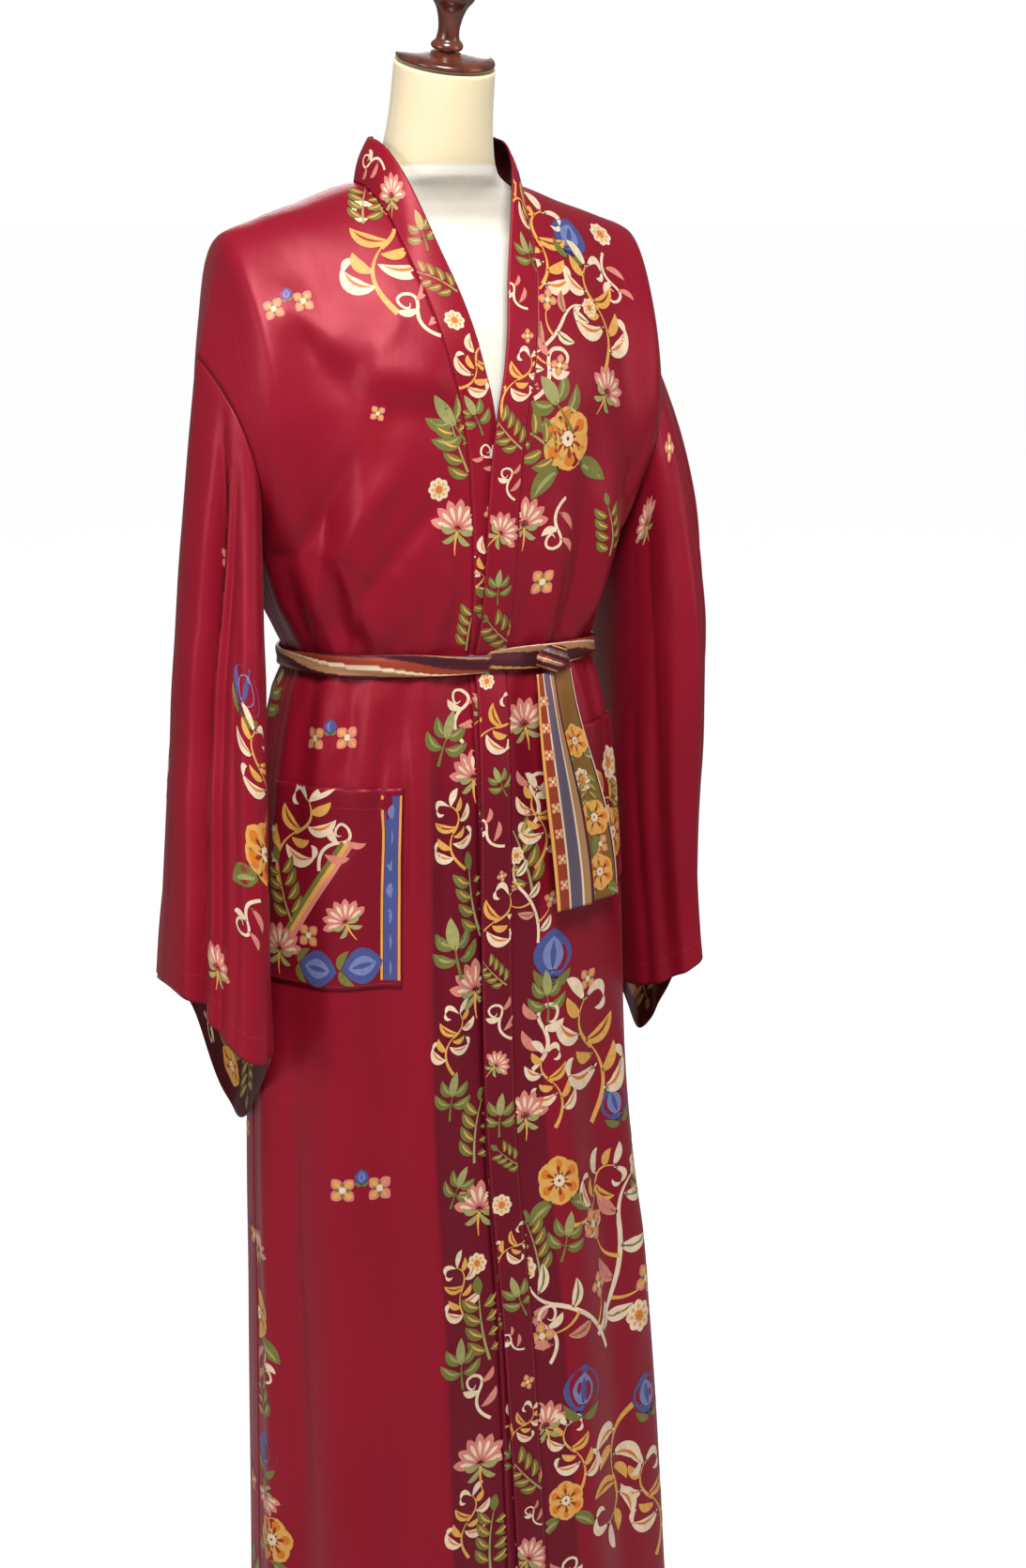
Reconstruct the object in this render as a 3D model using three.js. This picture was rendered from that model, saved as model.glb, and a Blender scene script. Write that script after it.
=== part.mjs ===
// A long silk kimono robe, worn by a limbless dress form on a turned wooden stand.
// Millimetres, +Z up, the floor at z = 0 under the stand's pole. The robe's front faces -Y and
// the wearer's left side is +X. The left front laps over the right one.
import * as THREE from "three";

// ---------------------------------------------------------------- driving dimensions
const CLOTH = 2; // thickness of one cloth wall
const SEAM_GAP = 0.3; // between two pieces at a seam
const UNDERARM_Z = 1120; // level of the top of the side seams
const WAIST_Z = 1021; // middle of the belt
const RING_POWER = 2.25; // roundness of the body's sections, 2 is an ellipse
const SHOULDER_Y = 4; // the shoulder seam lies a little behind the middle
const ARM_BULGE = 56; // half depth of the armhole
const BAND = 30; // width of the neckband
const BAND_STAND = { inward: 13, up: 38 }; // how the neckband stands up at the neck
const NECK_Q = 0.25; // place of the neck points along the shoulder line
const NECK_DIP = 0.054; // how far the back neckline dips, as a share of the rise
const LAYER = 5; // the right front lies this far under the left one
// Where it is pressed back: from this far on the wearer's right, and from this level down, each
// over its own distance.
const OVERLAP = { across: 75, ease: 55, top: 1305, fade: 60 };
const HEM_FADE = 30; // the folds end within this distance of their lower level
const BELT = { height: 25, thick: 4, out: 5.5 };
const KNOT = { x: 54, halfWidth: 18, halfHeight: 13, halfDepth: 9, gap: 0.5 };
const TAIL = { thick: 2.5, top: 1007.6, bottom: 795 };

// Sections of the robe below the underarm: level, half width, depth before and behind, and how
// far the hanging cloth has swung to the wearer's left.
const ROBE_RINGS = [
  { z: 1120, side: 178, front: 119, back: 108, swing: 0 },
  { z: 1072, side: 163, front: 114, back: 99, swing: 0 },
  { z: 1046, side: 151, front: 109, back: 93, swing: 0 },
  { z: 1021, side: 142, front: 103, back: 88, swing: 0 },
  { z: 987, side: 152, front: 108, back: 97, swing: 0 },
  { z: 900, side: 168, front: 116, back: 112, swing: 0 },
  { z: 800, side: 177, front: 119, back: 117, swing: 0 },
  { z: 640, side: 185, front: 124, back: 121, swing: 0 },
  { z: 560, side: 189, front: 128, back: 124, swing: 2 },
  { z: 400, side: 198, front: 136, back: 132, swing: 11 },
  { z: 85, side: 211, front: 150, back: 144, swing: 20 },
];

// The shoulder line from the middle of the neck (q 0) to the armhole seam (q 1).
const SHOULDER = [
  { q: 0, x: 0, z: 1440 },
  { q: 0.25, x: 74, z: 1431 },
  { q: 0.45, x: 125, z: 1414 },
  { q: 0.65, x: 168, z: 1400 },
  { q: 0.78, x: 198, z: 1387 },
  { q: 0.9, x: 209, z: 1345 },
  { q: 1, x: 222, z: 1284 },
];

// How far the body reaches forward and back between the underarm (rise 0) and the shoulder (rise 1).
const REACH = [
  { rise: 0, front: 1, back: 1 },
  { rise: 0.2, front: 1.02, back: 1.05 },
  { rise: 0.4, front: 1.03, back: 1.07 },
  { rise: 0.55, front: 0.97, back: 1.07 },
  { rise: 0.7, front: 0.83, back: 1.02 },
  { rise: 0.82, front: 0.64, back: 0.93 },
  { rise: 0.91, front: 0.46, back: 0.78 },
  { rise: 0.96, front: 0.31, back: 0.58 },
  { rise: 0.99, front: 0.15, back: 0.29 },
  { rise: 1, front: 0, back: 0 },
];

// Where the neckband is sewn to the fronts: distance from the middle at each level.
const NECKLINE = [
  { z: 1431, seam: 74 },
  { z: 1400, seam: 66 },
  { z: 1363, seam: 59 },
  { z: 1330, seam: 51 },
  { z: 1280, seam: 40 },
  { z: 1242, seam: 31 },
  { z: 1180, seam: 23 },
  { z: 1100, seam: 19 },
  { z: 1021, seam: 17 },
  { z: 744, seam: 14 },
  { z: 85, seam: 20 },
];

// Height of the small gathers above and below the belt.
const GATHERS = [
  { z: 85, height: 0 },
  { z: 800, height: 0 },
  { z: 900, height: 2 },
  { z: 970, height: 3 },
  { z: 1005, height: 1.6 },
  { z: 1021, height: 0.5 },
  { z: 1038, height: 1.6 },
  { z: 1062, height: 2.8 },
  { z: 1120, height: 1.2 },
  { z: 1180, height: 0 },
];
const GATHER_WAVES = { front: 4.5, back: 5.5 }; // waves from the middle to a side seam

// The large folds: side is 1 behind and -1 before, q is signed like x, width is in q.
// depth is outward, and each fold fades in over fade millimetres below its top.
const BODY_FOLDS = [
  { side: -1, q: -0.2, width: 0.07, depth: 5, top: 1000, bottom: 60, fade: 160 },
  { side: -1, q: -0.36, width: 0.07, depth: -7, top: 960, bottom: 60, fade: 260 },
  { side: -1, q: -0.55, width: 0.09, depth: 7, top: 940, bottom: 60, fade: 260 },
  { side: -1, q: -0.76, width: 0.07, depth: -8, top: 800, bottom: 60, fade: 260 },
  { side: -1, q: -0.92, width: 0.06, depth: 5, top: 820, bottom: 60, fade: 260 },
  { side: -1, q: 0.2, width: 0.06, depth: 4, top: 800, bottom: 60, fade: 260 },
  { side: -1, q: 0.36, width: 0.07, depth: -7, top: 780, bottom: 60, fade: 260 },
  { side: -1, q: 0.55, width: 0.08, depth: 6, top: 780, bottom: 60, fade: 260 },
  { side: -1, q: 0.75, width: 0.07, depth: -7, top: 790, bottom: 60, fade: 260 },
  { side: -1, q: -0.42, width: 0.08, depth: 7, top: 1260, bottom: 1030, fade: 90 },
  { side: -1, q: -0.62, width: 0.08, depth: -7, top: 1250, bottom: 1030, fade: 90 },
  { side: -1, q: 0.34, width: 0.06, depth: -5, top: 1240, bottom: 1030, fade: 90 },
  { side: -1, q: 0.5, width: 0.08, depth: 6, top: 1250, bottom: 1030, fade: 90 },
  { side: -1, q: 0.7, width: 0.07, depth: -6, top: 1240, bottom: 1030, fade: 90 },
  { side: 1, q: -0.82, width: 0.07, depth: -7, top: 900, bottom: 60, fade: 280 },
  { side: 1, q: -0.6, width: 0.08, depth: 6, top: 900, bottom: 60, fade: 280 },
  { side: 1, q: -0.38, width: 0.08, depth: -8, top: 940, bottom: 60, fade: 280 },
  { side: 1, q: -0.14, width: 0.08, depth: 6, top: 940, bottom: 60, fade: 280 },
  { side: 1, q: 0.1, width: 0.07, depth: -7, top: 950, bottom: 60, fade: 280 },
  { side: 1, q: 0.33, width: 0.08, depth: 7, top: 930, bottom: 60, fade: 280 },
  { side: 1, q: 0.57, width: 0.08, depth: -7, top: 900, bottom: 60, fade: 280 },
  { side: 1, q: 0.8, width: 0.07, depth: 6, top: 900, bottom: 60, fade: 280 },
  { side: 1, q: -0.5, width: 0.08, depth: -5, top: 1250, bottom: 1030, fade: 100 },
  { side: 1, q: -0.2, width: 0.08, depth: 4, top: 1230, bottom: 1030, fade: 100 },
  { side: 1, q: 0.15, width: 0.08, depth: -5, top: 1240, bottom: 1030, fade: 100 },
  { side: 1, q: 0.5, width: 0.08, depth: 5, top: 1240, bottom: 1030, fade: 100 },
];

// Rows of the body's panels, from the shoulder down to the underarm and on to the hem.
const RISES = [1, 0.99, 0.97, 0.94, 0.89, 0.82, 0.73, 0.63, 0.52, 0.4, 0.27, 0.13];
const LEVELS = [
  1120, 1085, 1058, 1038, 1021, 1004, 980, 955, 917, 880, 840, 800, 738, 680, 590, 480, 360, 225, 85,
];
const FRONT_COLUMNS = 11; // from the neckband's seam to the side seam
const NECK_COLUMNS = 6; // across the back neckline
const BAND_COLUMNS = 2;

// Patch pockets: the columns and levels of the front that each covers.
const POCKETS = {
  right: { from: 3, to: 10, top: 917, bottom: 738 },
  left: { from: 2, to: 8, top: 955, bottom: 800 },
};

// The open end of each sleeve: its distance from the middle of the robe and how far it is carried
// forward, its half width and its half depth in front and behind. Then the level of its outer and
// inner folds, how far its front edge hangs below them, and the low point of its rim: place round
// it (0 outer, 0.5 inner), depth and width. The ease is the sleeve's swell on the way to it.
const SLEEVES = {
  right: {
    x: 235, forward: 20, halfWidth: 43, front: 95, back: 80, outer: 746, inner: 700, dip: -30,
    lowAt: 0.57, low: -105, lowWidth: 0.11, ease: 3,
  },
  left: {
    x: 226, forward: 6, halfWidth: 34, front: 80, back: 80, outer: 742, inner: 680, dip: 0,
    lowAt: 0.89, low: -125, lowWidth: 0.12, ease: 32,
  },
};
const CUFF_POWER = 0.9; // roundness of the end, 1 is an ellipse
const SLEEVE_ROWS = 11;
// Lengthwise folds: around is 0 at the outer fold, 0.25 in front, 0.5 at the underarm.
const SLEEVE_FOLDS = [
  { around: 0.125, width: 0.045, depth: -13, from: 0.02 },
  { around: 0.24, width: 0.05, depth: 6, from: 0.1 },
  { around: 0.34, width: 0.04, depth: -6, from: 0.3 },
  { around: 0.66, width: 0.045, depth: -7, from: 0.25 },
  { around: 0.76, width: 0.05, depth: 6, from: 0.15 },
  { around: 0.87, width: 0.045, depth: -11, from: 0.08 },
];

// The belt's two hanging ends: distance from the middle and half width at the top and bottom.
const TAILS = {
  inner: { topX: 45, bottomX: 70, topHalf: 9, bottomHalf: 20, out: 17.5 },
  outer: { topX: 65.5, bottomX: 108, topHalf: 9, bottomHalf: 18, out: 13 },
};

// Sections of the dress form: level, half width, depths, and how far its middle leans forward.
const FORM_RINGS = [
  { z: 768, side: 138, front: 88, back: 92, lean: 0, tilt: 0 },
  { z: 776, side: 148, front: 95, back: 99, lean: 0, tilt: 0 },
  { z: 800, side: 154, front: 99, back: 103, lean: 0, tilt: 0 },
  { z: 860, side: 155, front: 100, back: 104, lean: 0, tilt: 0 },
  { z: 930, side: 140, front: 93, back: 92, lean: 0, tilt: 0 },
  { z: 1004, side: 118, front: 82, back: 74, lean: 0, tilt: 0 },
  { z: 1080, side: 132, front: 93, back: 82, lean: 0, tilt: 0 },
  { z: 1160, side: 146, front: 101, back: 91, lean: 0, tilt: 0 },
  { z: 1240, side: 152, front: 105, back: 96, lean: 0, tilt: 0 },
  { z: 1300, side: 158, front: 90, back: 96, lean: 0, tilt: 0 },
  { z: 1345, side: 174, front: 64, back: 82, lean: 0, tilt: 0 },
  { z: 1374, side: 184, front: 42, back: 56, lean: 0, tilt: 0 },
  { z: 1387.8, side: 180, front: 26, back: 36, lean: 0, tilt: 0 },
  { z: 1397.8, side: 161, front: 24, back: 34, lean: 0, tilt: 0 },
  { z: 1412.7, side: 118, front: 28, back: 39, lean: 0, tilt: 0 },
  { z: 1425.5, side: 76.3, front: 33, back: 44, lean: 2, tilt: 0 },
  { z: 1439.5, side: 56, front: 41, back: 46, lean: 6, tilt: 2 },
  { z: 1460, side: 49, front: 42, back: 45, lean: 11, tilt: 6 },
  { z: 1492, side: 45, front: 42, back: 43, lean: 17, tilt: 12 },
  { z: 1530, side: 43.5, front: 43, back: 43, lean: 24, tilt: 16 },
];
const FORM_COLUMNS = 32;
const FORM_POWER = 0.95; // roundness of the form's sections, 1 is an ellipse

// The turned wood: each profile is radius and height from the piece's own foot.
const CAP_PROFILE = [
  [0, 0], [38, 0], [42, 1.8], [43.5, 4.5], [42, 7.5], [35, 9.5], [13, 12], [0, 12.5],
];
const FINIAL_PROFILE = [
  [0, 0], [13, 0], [14.5, 3], [13, 6.5], [10, 9], [9, 17], [10.5, 27], [13.5, 36],
  [19, 43], [22, 52], [20, 61], [13.5, 69], [6, 74], [5, 78], [0, 80],
];
const POLE = { radius: 15, flangeRadius: 42, flange: 10, collar: 24, collarRadius: 22 };
const BASE = { radius: 175, edge: 16, dome: 26, hub: 40, hubRadius: 32 };

const WOOD = { color: 0x3a1712, roughness: 0.35, metalness: 0 };
const SILK = { color: 0x9e1b32, roughness: 0.45, metalness: 0 };
const BORDER = { color: 0x5f4a55, roughness: 0.5, metalness: 0 };
const LINEN = { color: 0xe6d3ab, roughness: 0.85, metalness: 0 };

// ---------------------------------------------------------------- small helpers
const clamp = (x, low = 0, high = 1) => Math.min(high, Math.max(low, x));
const smooth = (x) => clamp(x) ** 2 * (3 - 2 * clamp(x));
const mix = (a, b, t) => a + (b - a) * t;
const bell = (x) => Math.exp(-x * x);

// The value of one column of a table at a key, on a smooth curve that never overshoots its rows.
function curve(table, key, at, column) {
  const rows = table[0][key] < table[table.length - 1][key] ? table : [...table].reverse();
  const last = rows.length - 1;
  if (at <= rows[0][key]) return rows[0][column];
  if (at >= rows[last][key]) return rows[last][column];
  const i = rows.findIndex((row, k) => k < last && at <= rows[k + 1][key]);
  const step = (k) => (rows[k + 1][column] - rows[k][column]) / (rows[k + 1][key] - rows[k][key]);
  const slope = (k) => {
    if (k === 0) return step(0);
    if (k === last) return step(last - 1);
    const [a, b] = [step(k - 1), step(k)];
    return a * b <= 0 ? 0 : (2 * a * b) / (a + b);
  };
  const width = rows[i + 1][key] - rows[i][key];
  const t = (at - rows[i][key]) / width;
  return (
    rows[i][column] * (1 + 2 * t) * (1 - t) ** 2 +
    rows[i + 1][column] * t * t * (3 - 2 * t) +
    width * (slope(i) * t * (1 - t) ** 2 - slope(i + 1) * t * t * (1 - t))
  );
}

// ---------------------------------------------------------------- the robe's surface
// A row is { rise } above the underarm, from 0 there to 1 on the shoulder, or { z } below it.
const BODY_ROWS = [...RISES.map((rise) => ({ rise })), ...LEVELS.map((z) => ({ z }))];

// One point of a body section: half is -1 in front and 1 behind, q runs from 0 at the middle
// to 1 at the side seam and carries the sign of x.
function ringPoint(half, q, z) {
  const angle = (Math.abs(q) * Math.PI) / 2;
  const round = 2 / RING_POWER;
  const depth = curve(ROBE_RINGS, "z", z, half < 0 ? "front" : "back");
  const x = Math.sign(q) * curve(ROBE_RINGS, "z", z, "side") * Math.sin(angle) ** round;
  return new THREE.Vector3(x, half * depth * Math.max(0, Math.cos(angle)) ** round, z);
}

// How far the gathers and folds move the cloth outward.
function foldHeight(half, q, z) {
  const waves = half < 0 ? GATHER_WAVES.front : GATHER_WAVES.back;
  const toSeam = smooth((1 - Math.abs(q)) / 0.1);
  let height = curve(GATHERS, "z", z, "height") * Math.cos(2 * Math.PI * waves * q) * toSeam;
  for (const fold of BODY_FOLDS) {
    if (fold.side !== half || z > fold.top || z < fold.bottom) continue;
    const fade = smooth((fold.top - z) / fold.fade) * smooth((z - fold.bottom) / HEM_FADE);
    height += fold.depth * fade * toSeam * bell((q - fold.q) / fold.width);
  }
  return height;
}

// The cloth's middle surface, folds included, as it would hang without its swing.
function stillPoint(half, q, row) {
  const size = Math.abs(q);
  const foot = ringPoint(half, q, row.z ?? UNDERARM_Z);
  const p = foot.clone();
  if (row.rise !== undefined) {
    const top = curve(SHOULDER, "q", size, "z");
    const reach = curve(REACH, "rise", row.rise, half < 0 ? "front" : "back");
    const arm = smooth((size - 0.5) / 0.5) * Math.sin(Math.PI * row.rise) ** 0.75;
    p.x = mix(foot.x, Math.sign(q) * curve(SHOULDER, "q", size, "x"), row.rise ** 1.2);
    p.y = foot.y * reach + half * ARM_BULGE * arm + SHOULDER_Y * row.rise;
    p.z = mix(UNDERARM_Z, top, row.rise);
  }
  const out = new THREE.Vector2(p.x, p.y * 1.6).normalize();
  const height = foldHeight(half, q, p.z);
  p.x += out.x * height;
  p.y += out.y * height;
  return p;
}

function clothPoint(half, q, row) {
  const p = stillPoint(half, q, row);
  return p.setX(p.x + curve(ROBE_RINGS, "z", p.z, "swing"));
}

// The q at which a row's cloth is where(point) millimetres from the middle.
function qWhere(half, row, where) {
  let [low, high] = [0, 1];
  for (let i = 0; i < 40; i++) {
    const middle = (low + high) / 2;
    const p = stillPoint(half, middle, row);
    if (p.x < where(p)) low = middle;
    else high = middle;
  }
  return (low + high) / 2;
}

// The under layer: the right front is pressed back behind the left one near the middle.
function tucked(p, side) {
  if (side > 0) return p;
  const across = smooth((OVERLAP.across + p.x) / OVERLAP.ease);
  const near = across * smooth((OVERLAP.top - p.z) / OVERLAP.fade);
  return p.clone().setY(p.y + LAYER * near);
}

// ---------------------------------------------------------------- grids of points
// A front panel, from the neckband's seam to the side seam; side is 1 on the wearer's left.
function frontGrid(side) {
  return BODY_ROWS.map((row) => {
    const inner = row.rise === 1 ? NECK_Q : qWhere(-1, row, (p) => curve(NECKLINE, "z", p.z, "seam"));
    return Array.from({ length: FRONT_COLUMNS + 1 }, (_, c) => {
      const q = mix(inner, 1, c / FRONT_COLUMNS);
      return tucked(clothPoint(-1, side * q, row), side);
    });
  });
}

// The back panel, from the right side seam to the left one, with the neckline cut from its top.
function backGrid() {
  const right = Array.from({ length: FRONT_COLUMNS }, (_, c) => -mix(1, NECK_Q, c / FRONT_COLUMNS));
  const neck = Array.from({ length: NECK_COLUMNS + 1 }, (_, c) =>
    mix(-NECK_Q, NECK_Q, c / NECK_COLUMNS),
  );
  const columns = [...right, ...neck, ...right.map((q) => -q).reverse()];
  return BODY_ROWS.map((row) =>
    columns.map((q) => {
      const dip = NECK_DIP * Math.max(0, 1 - (q / NECK_Q) ** 2) ** 2;
      return clothPoint(1, q, row.rise === undefined ? row : { rise: row.rise * (1 - dip) });
    }),
  );
}

// Half of the neckband, from the middle of the back neck over the shoulder to the hem.
// Each row runs from the seam to the free edge.
function bandGrid(side, front, back) {
  const middle = FRONT_COLUMNS + NECK_COLUMNS / 2;
  const behind = Array.from({ length: NECK_COLUMNS / 2 }, (_, c) => {
    const seam = back[0][middle + side * c];
    const inward = new THREE.Vector3(-seam.x, -(seam.y + 10), 0).setLength(BAND_STAND.inward);
    return [seam, seam.clone().add(inward).setZ(seam.z + BAND_STAND.up)];
  });
  const before = BODY_ROWS.map((row, r) => {
    const seam = front[r][0];
    const swing = curve(ROBE_RINGS, "z", seam.z, "swing");
    const lying = bandEdge(side, row, side * (seam.x - swing) - BAND);
    const stand = new THREE.Vector3(-side * BAND_STAND.inward, -3, BAND_STAND.up);
    const up = row.rise === undefined ? 0 : smooth((row.rise - 0.7) / 0.28);
    return [seam, lying.lerp(seam.clone().add(stand), up)];
  });
  return [...behind, ...before].map(([seam, edge]) =>
    Array.from({ length: BAND_COLUMNS + 1 }, (_, c) =>
      seam.clone().lerp(edge, c / BAND_COLUMNS),
    ),
  );
}

// The free edge of the band where it lies on the body, x millimetres from the middle.
function bandEdge(side, row, x) {
  const q = qWhere(-1, row, () => Math.abs(x));
  return tucked(clothPoint(-1, side * Math.sign(x) * q, row), side);
}

// A sleeve, from the armhole down to its open end. The first row is the armhole itself.
function sleeveGrid(side, front, back) {
  const rows = RISES.length;
  const backColumn = side > 0 ? back[0].length - 1 : 0;
  const armhole = [
    ...Array.from({ length: rows }, (_, r) => front[r][FRONT_COLUMNS]),
    ...Array.from({ length: rows }, (_, r) => back[rows - r][backColumn]),
  ];
  return Array.from({ length: SLEEVE_ROWS + 1 }, (_, j) => {
    const down = j / SLEEVE_ROWS;
    return armhole.map((from, i) => sleevePoint(side, from, i / armhole.length, down));
  });
}

// A straight line from the armhole to the open end, swollen on the outer side and folded. The
// swell is greatest a third of the way down, where 6.75 down (1 - down)^2 is 1.
function sleevePoint(side, from, around, down) {
  const sleeve = side > 0 ? SLEEVES.left : SLEEVES.right;
  const turn = 2 * Math.PI * around;
  const out = new THREE.Vector2(Math.cos(turn), -Math.sin(turn));
  const depth = out.y < 0 ? sleeve.front : sleeve.back;
  const toLow = around - sleeve.lowAt - Math.round(around - sleeve.lowAt);
  const end = new THREE.Vector3(
    side * (sleeve.x + sleeve.halfWidth * Math.sign(out.x) * Math.abs(out.x) ** CUFF_POWER),
    depth * Math.sign(out.y) * Math.abs(out.y) ** CUFF_POWER - sleeve.forward,
    mix(sleeve.inner, sleeve.outer, (1 + out.x) / 2) +
      (out.y < 0 ? sleeve.dip * out.y ** 2 : 0) +
      sleeve.low * bell(toLow / sleeve.lowWidth),
  );
  const p = from.clone().lerp(end, down);
  let swell = sleeve.ease * 6.75 * down * (1 - down) ** 2 * clamp(0.5 + out.x);
  for (const fold of SLEEVE_FOLDS) {
    const here = bell((around - fold.around) / fold.width);
    swell += fold.depth * here * smooth((down - fold.from) / 0.3 + 0.15 * Math.sign(down));
  }
  p.x += side * out.x * swell * (down > 0 ? 1 : 0);
  p.y += out.y * swell * (down > 0 ? 1 : 0);
  return p;
}

// ---------------------------------------------------------------- walls from grids
// Outward normals of a grid. A closed grid joins its last column to its first.
function gridNormals(grid, closed, inside) {
  const rows = grid.length;
  const columns = grid[0].length;
  return grid.map((row, r) =>
    row.map((p, c) => {
      const left = closed ? row[(c + columns - 1) % columns] : row[Math.max(0, c - 1)];
      const right = closed ? row[(c + 1) % columns] : row[Math.min(columns - 1, c + 1)];
      const up = grid[Math.max(0, r - 1)][c];
      const down = grid[Math.min(rows - 1, r + 1)][c];
      const n = right.clone().sub(left).cross(down.clone().sub(up)).normalize();
      return n.dot(p.clone().sub(inside(p))) < 0 ? n.negate() : n;
    }),
  );
}

// Pieces that meet at a seam share one normal there, so that their edges are mitred.
function shareNormals(panels) {
  const seams = new Map();
  const keyOf = (p) => [p.x, p.y, p.z].map((v) => Math.round(v * 50)).join();
  for (const { grid, normals } of panels)
    grid.forEach((row, r) =>
      row.forEach((p, c) => {
        const key = keyOf(p);
        seams.set(key, (seams.get(key) ?? new THREE.Vector3()).add(normals[r][c]));
      }),
    );
  for (const { grid, normals } of panels)
    grid.forEach((row, r) =>
      row.forEach((p, c) => normals[r][c].copy(seams.get(keyOf(p))).normalize()),
    );
}

// The grid with its edges drawn in: a sleeve by the whole seam gap, a panel by half of it.
function drawnIn(grid, closed) {
  const made = grid.map((row) => row.map((p) => p.clone()));
  const inset = closed ? SEAM_GAP : SEAM_GAP / 2;
  const pull = (p, towards) => p.add(towards.clone().sub(p).setLength(inset));
  const last = grid.length - 1;
  grid[0].forEach((_, c) => {
    pull(made[0][c], grid[1][c]);
    pull(made[last][c], grid[last - 1][c]);
  });
  if (!closed)
    grid.forEach((row, r) => {
      pull(made[r][0], row[1]);
      pull(made[r][row.length - 1], row[row.length - 2]);
    });
  return made;
}

// A closed solid from vertices and quads, turned so that its faces point out.
function solid(vertices, quads) {
  const triangles = quads.flatMap(([a, b, c, d]) =>
    d === undefined ? [[a, b, c]] : [[a, b, c], [a, c, d]],
  );
  const volume = triangles.reduce(
    (sum, [a, b, c]) => sum + vertices[a].dot(vertices[b].clone().cross(vertices[c])),
    0,
  );
  const geometry = new THREE.BufferGeometry().setFromPoints(vertices);
  geometry.setIndex(triangles.flatMap(([a, b, c]) => (volume < 0 ? [a, c, b] : [a, b, c])));
  geometry.computeVertexNormals();
  return geometry;
}

// A wall of one thickness on a grid, moved out from it by shift.
function wall(grid, normals, closed, thick = CLOTH, shift = 0) {
  const rows = grid.length;
  const columns = grid[0].length;
  const count = rows * columns;
  const layer = (distance) =>
    grid.flatMap((row, r) => row.map((p, c) => p.clone().addScaledVector(normals[r][c], distance)));
  const vertices = [...layer(shift + thick / 2), ...layer(shift - thick / 2)];
  const at = (r, c) => r * columns + (c % columns);
  const quads = [];
  const across = closed ? columns : columns - 1;
  for (let r = 0; r < rows - 1; r++)
    for (let c = 0; c < across; c++) {
      const [a, b, d, e] = [at(r, c), at(r, c + 1), at(r + 1, c + 1), at(r + 1, c)];
      quads.push([a, b, d, e], [a + count, e + count, d + count, b + count]);
    }
  for (let c = 0; c < across; c++)
    for (const [r, flip] of [[0, false], [rows - 1, true]]) {
      const [a, b] = flip ? [at(r, c + 1), at(r, c)] : [at(r, c), at(r, c + 1)];
      quads.push([a, a + count, b + count, b]);
    }
  if (!closed)
    for (let r = 0; r < rows - 1; r++)
      for (const [c, flip] of [[0, true], [columns - 1, false]]) {
        const [a, b] = flip ? [at(r + 1, c), at(r, c)] : [at(r, c), at(r + 1, c)];
        quads.push([a, a + count, b + count, b]);
      }
  return solid(vertices, quads);
}

// A closed solid through rings of points, capped at both ends.
function loft(rings) {
  const n = rings[0].length;
  const centre = (ring) =>
    ring.reduce((sum, p) => sum.add(p), new THREE.Vector3()).divideScalar(ring.length);
  const vertices = [...rings.flat(), centre(rings[0]), centre(rings[rings.length - 1])];
  const faces = [];
  for (let r = 0; r < rings.length - 1; r++)
    for (let c = 0; c < n; c++) {
      const d = (c + 1) % n;
      faces.push([r * n + c, r * n + d, (r + 1) * n + d, (r + 1) * n + c]);
    }
  const [foot, head] = [rings.length * n, rings.length * n + 1];
  const top = (rings.length - 1) * n;
  for (let c = 0; c < n; c++) {
    const d = (c + 1) % n;
    faces.push([d, c, foot], [top + c, top + d, head]);
  }
  return solid(vertices, faces);
}

// ---------------------------------------------------------------- the belt
// The point x millimetres from the robe's middle at level z, moved out by a distance from the
// front's section without its folds, and the outward direction there.
function outsidePoint(x, z, out) {
  const q = qWhere(-1, { z }, () => Math.abs(x));
  const p = ringPoint(-1, Math.sign(x) * q, z);
  const n = new THREE.Vector3(p.x / ringPoint(-1, 1, z).x ** 2, p.y / ringPoint(-1, 0, z).y ** 2, 0);
  return { p: p.addScaledVector(n.normalize(), out), n };
}

// The waist loop: a closed strip that keeps its distance from the cloth.
function beltGrid() {
  const columns = 48;
  const levels = [-0.5, 0, 0.5].map((share) => WAIST_Z + share * BELT.height);
  return levels.map((z) =>
    Array.from({ length: columns }, (_, c) => {
      const turn = (4 * c) / columns; // quarters of the way round, from the middle front
      const half = turn < 1 || turn > 3 ? -1 : 1;
      const quarter = turn < 1 ? turn : turn < 3 ? 2 - turn : turn - 4;
      return ringPoint(half, quarter, z);
    }),
  );
}

// A hanging end of the belt, which widens and moves away from the knot on its way down.
function tailGrid(tail) {
  const rows = 9;
  const columns = 4;
  return Array.from({ length: rows + 1 }, (_, r) => {
    const down = r / rows;
    const z = mix(TAIL.top, TAIL.bottom, down);
    const middle = mix(tail.topX, tail.bottomX, smooth(down * 0.9 + 0.05));
    const half = mix(tail.topHalf, tail.bottomHalf, smooth(down * 1.6));
    return Array.from({ length: columns + 1 }, (_, c) => {
      const x = middle + half * mix(-1, 1, c / columns);
      return outsidePoint(x, z, tail.out).p;
    });
  });
}

// The knot: a flattened ball against the belt, turned to face the way the robe does there.
function knotMesh() {
  const lift = BELT.out + BELT.thick / 2 + KNOT.gap + KNOT.halfDepth;
  const { p, n } = outsidePoint(KNOT.x, WAIST_Z, lift);
  const geometry = new THREE.SphereGeometry(1, 20, 12).rotateX(Math.PI / 2);
  geometry.scale(KNOT.halfWidth, KNOT.halfDepth, KNOT.halfHeight);
  geometry.rotateZ(Math.atan2(n.x, -n.y));
  const knot = new THREE.Mesh(geometry, new THREE.MeshStandardMaterial(BORDER));
  knot.name = "belt_knot";
  knot.position.copy(p);
  return knot;
}

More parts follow.
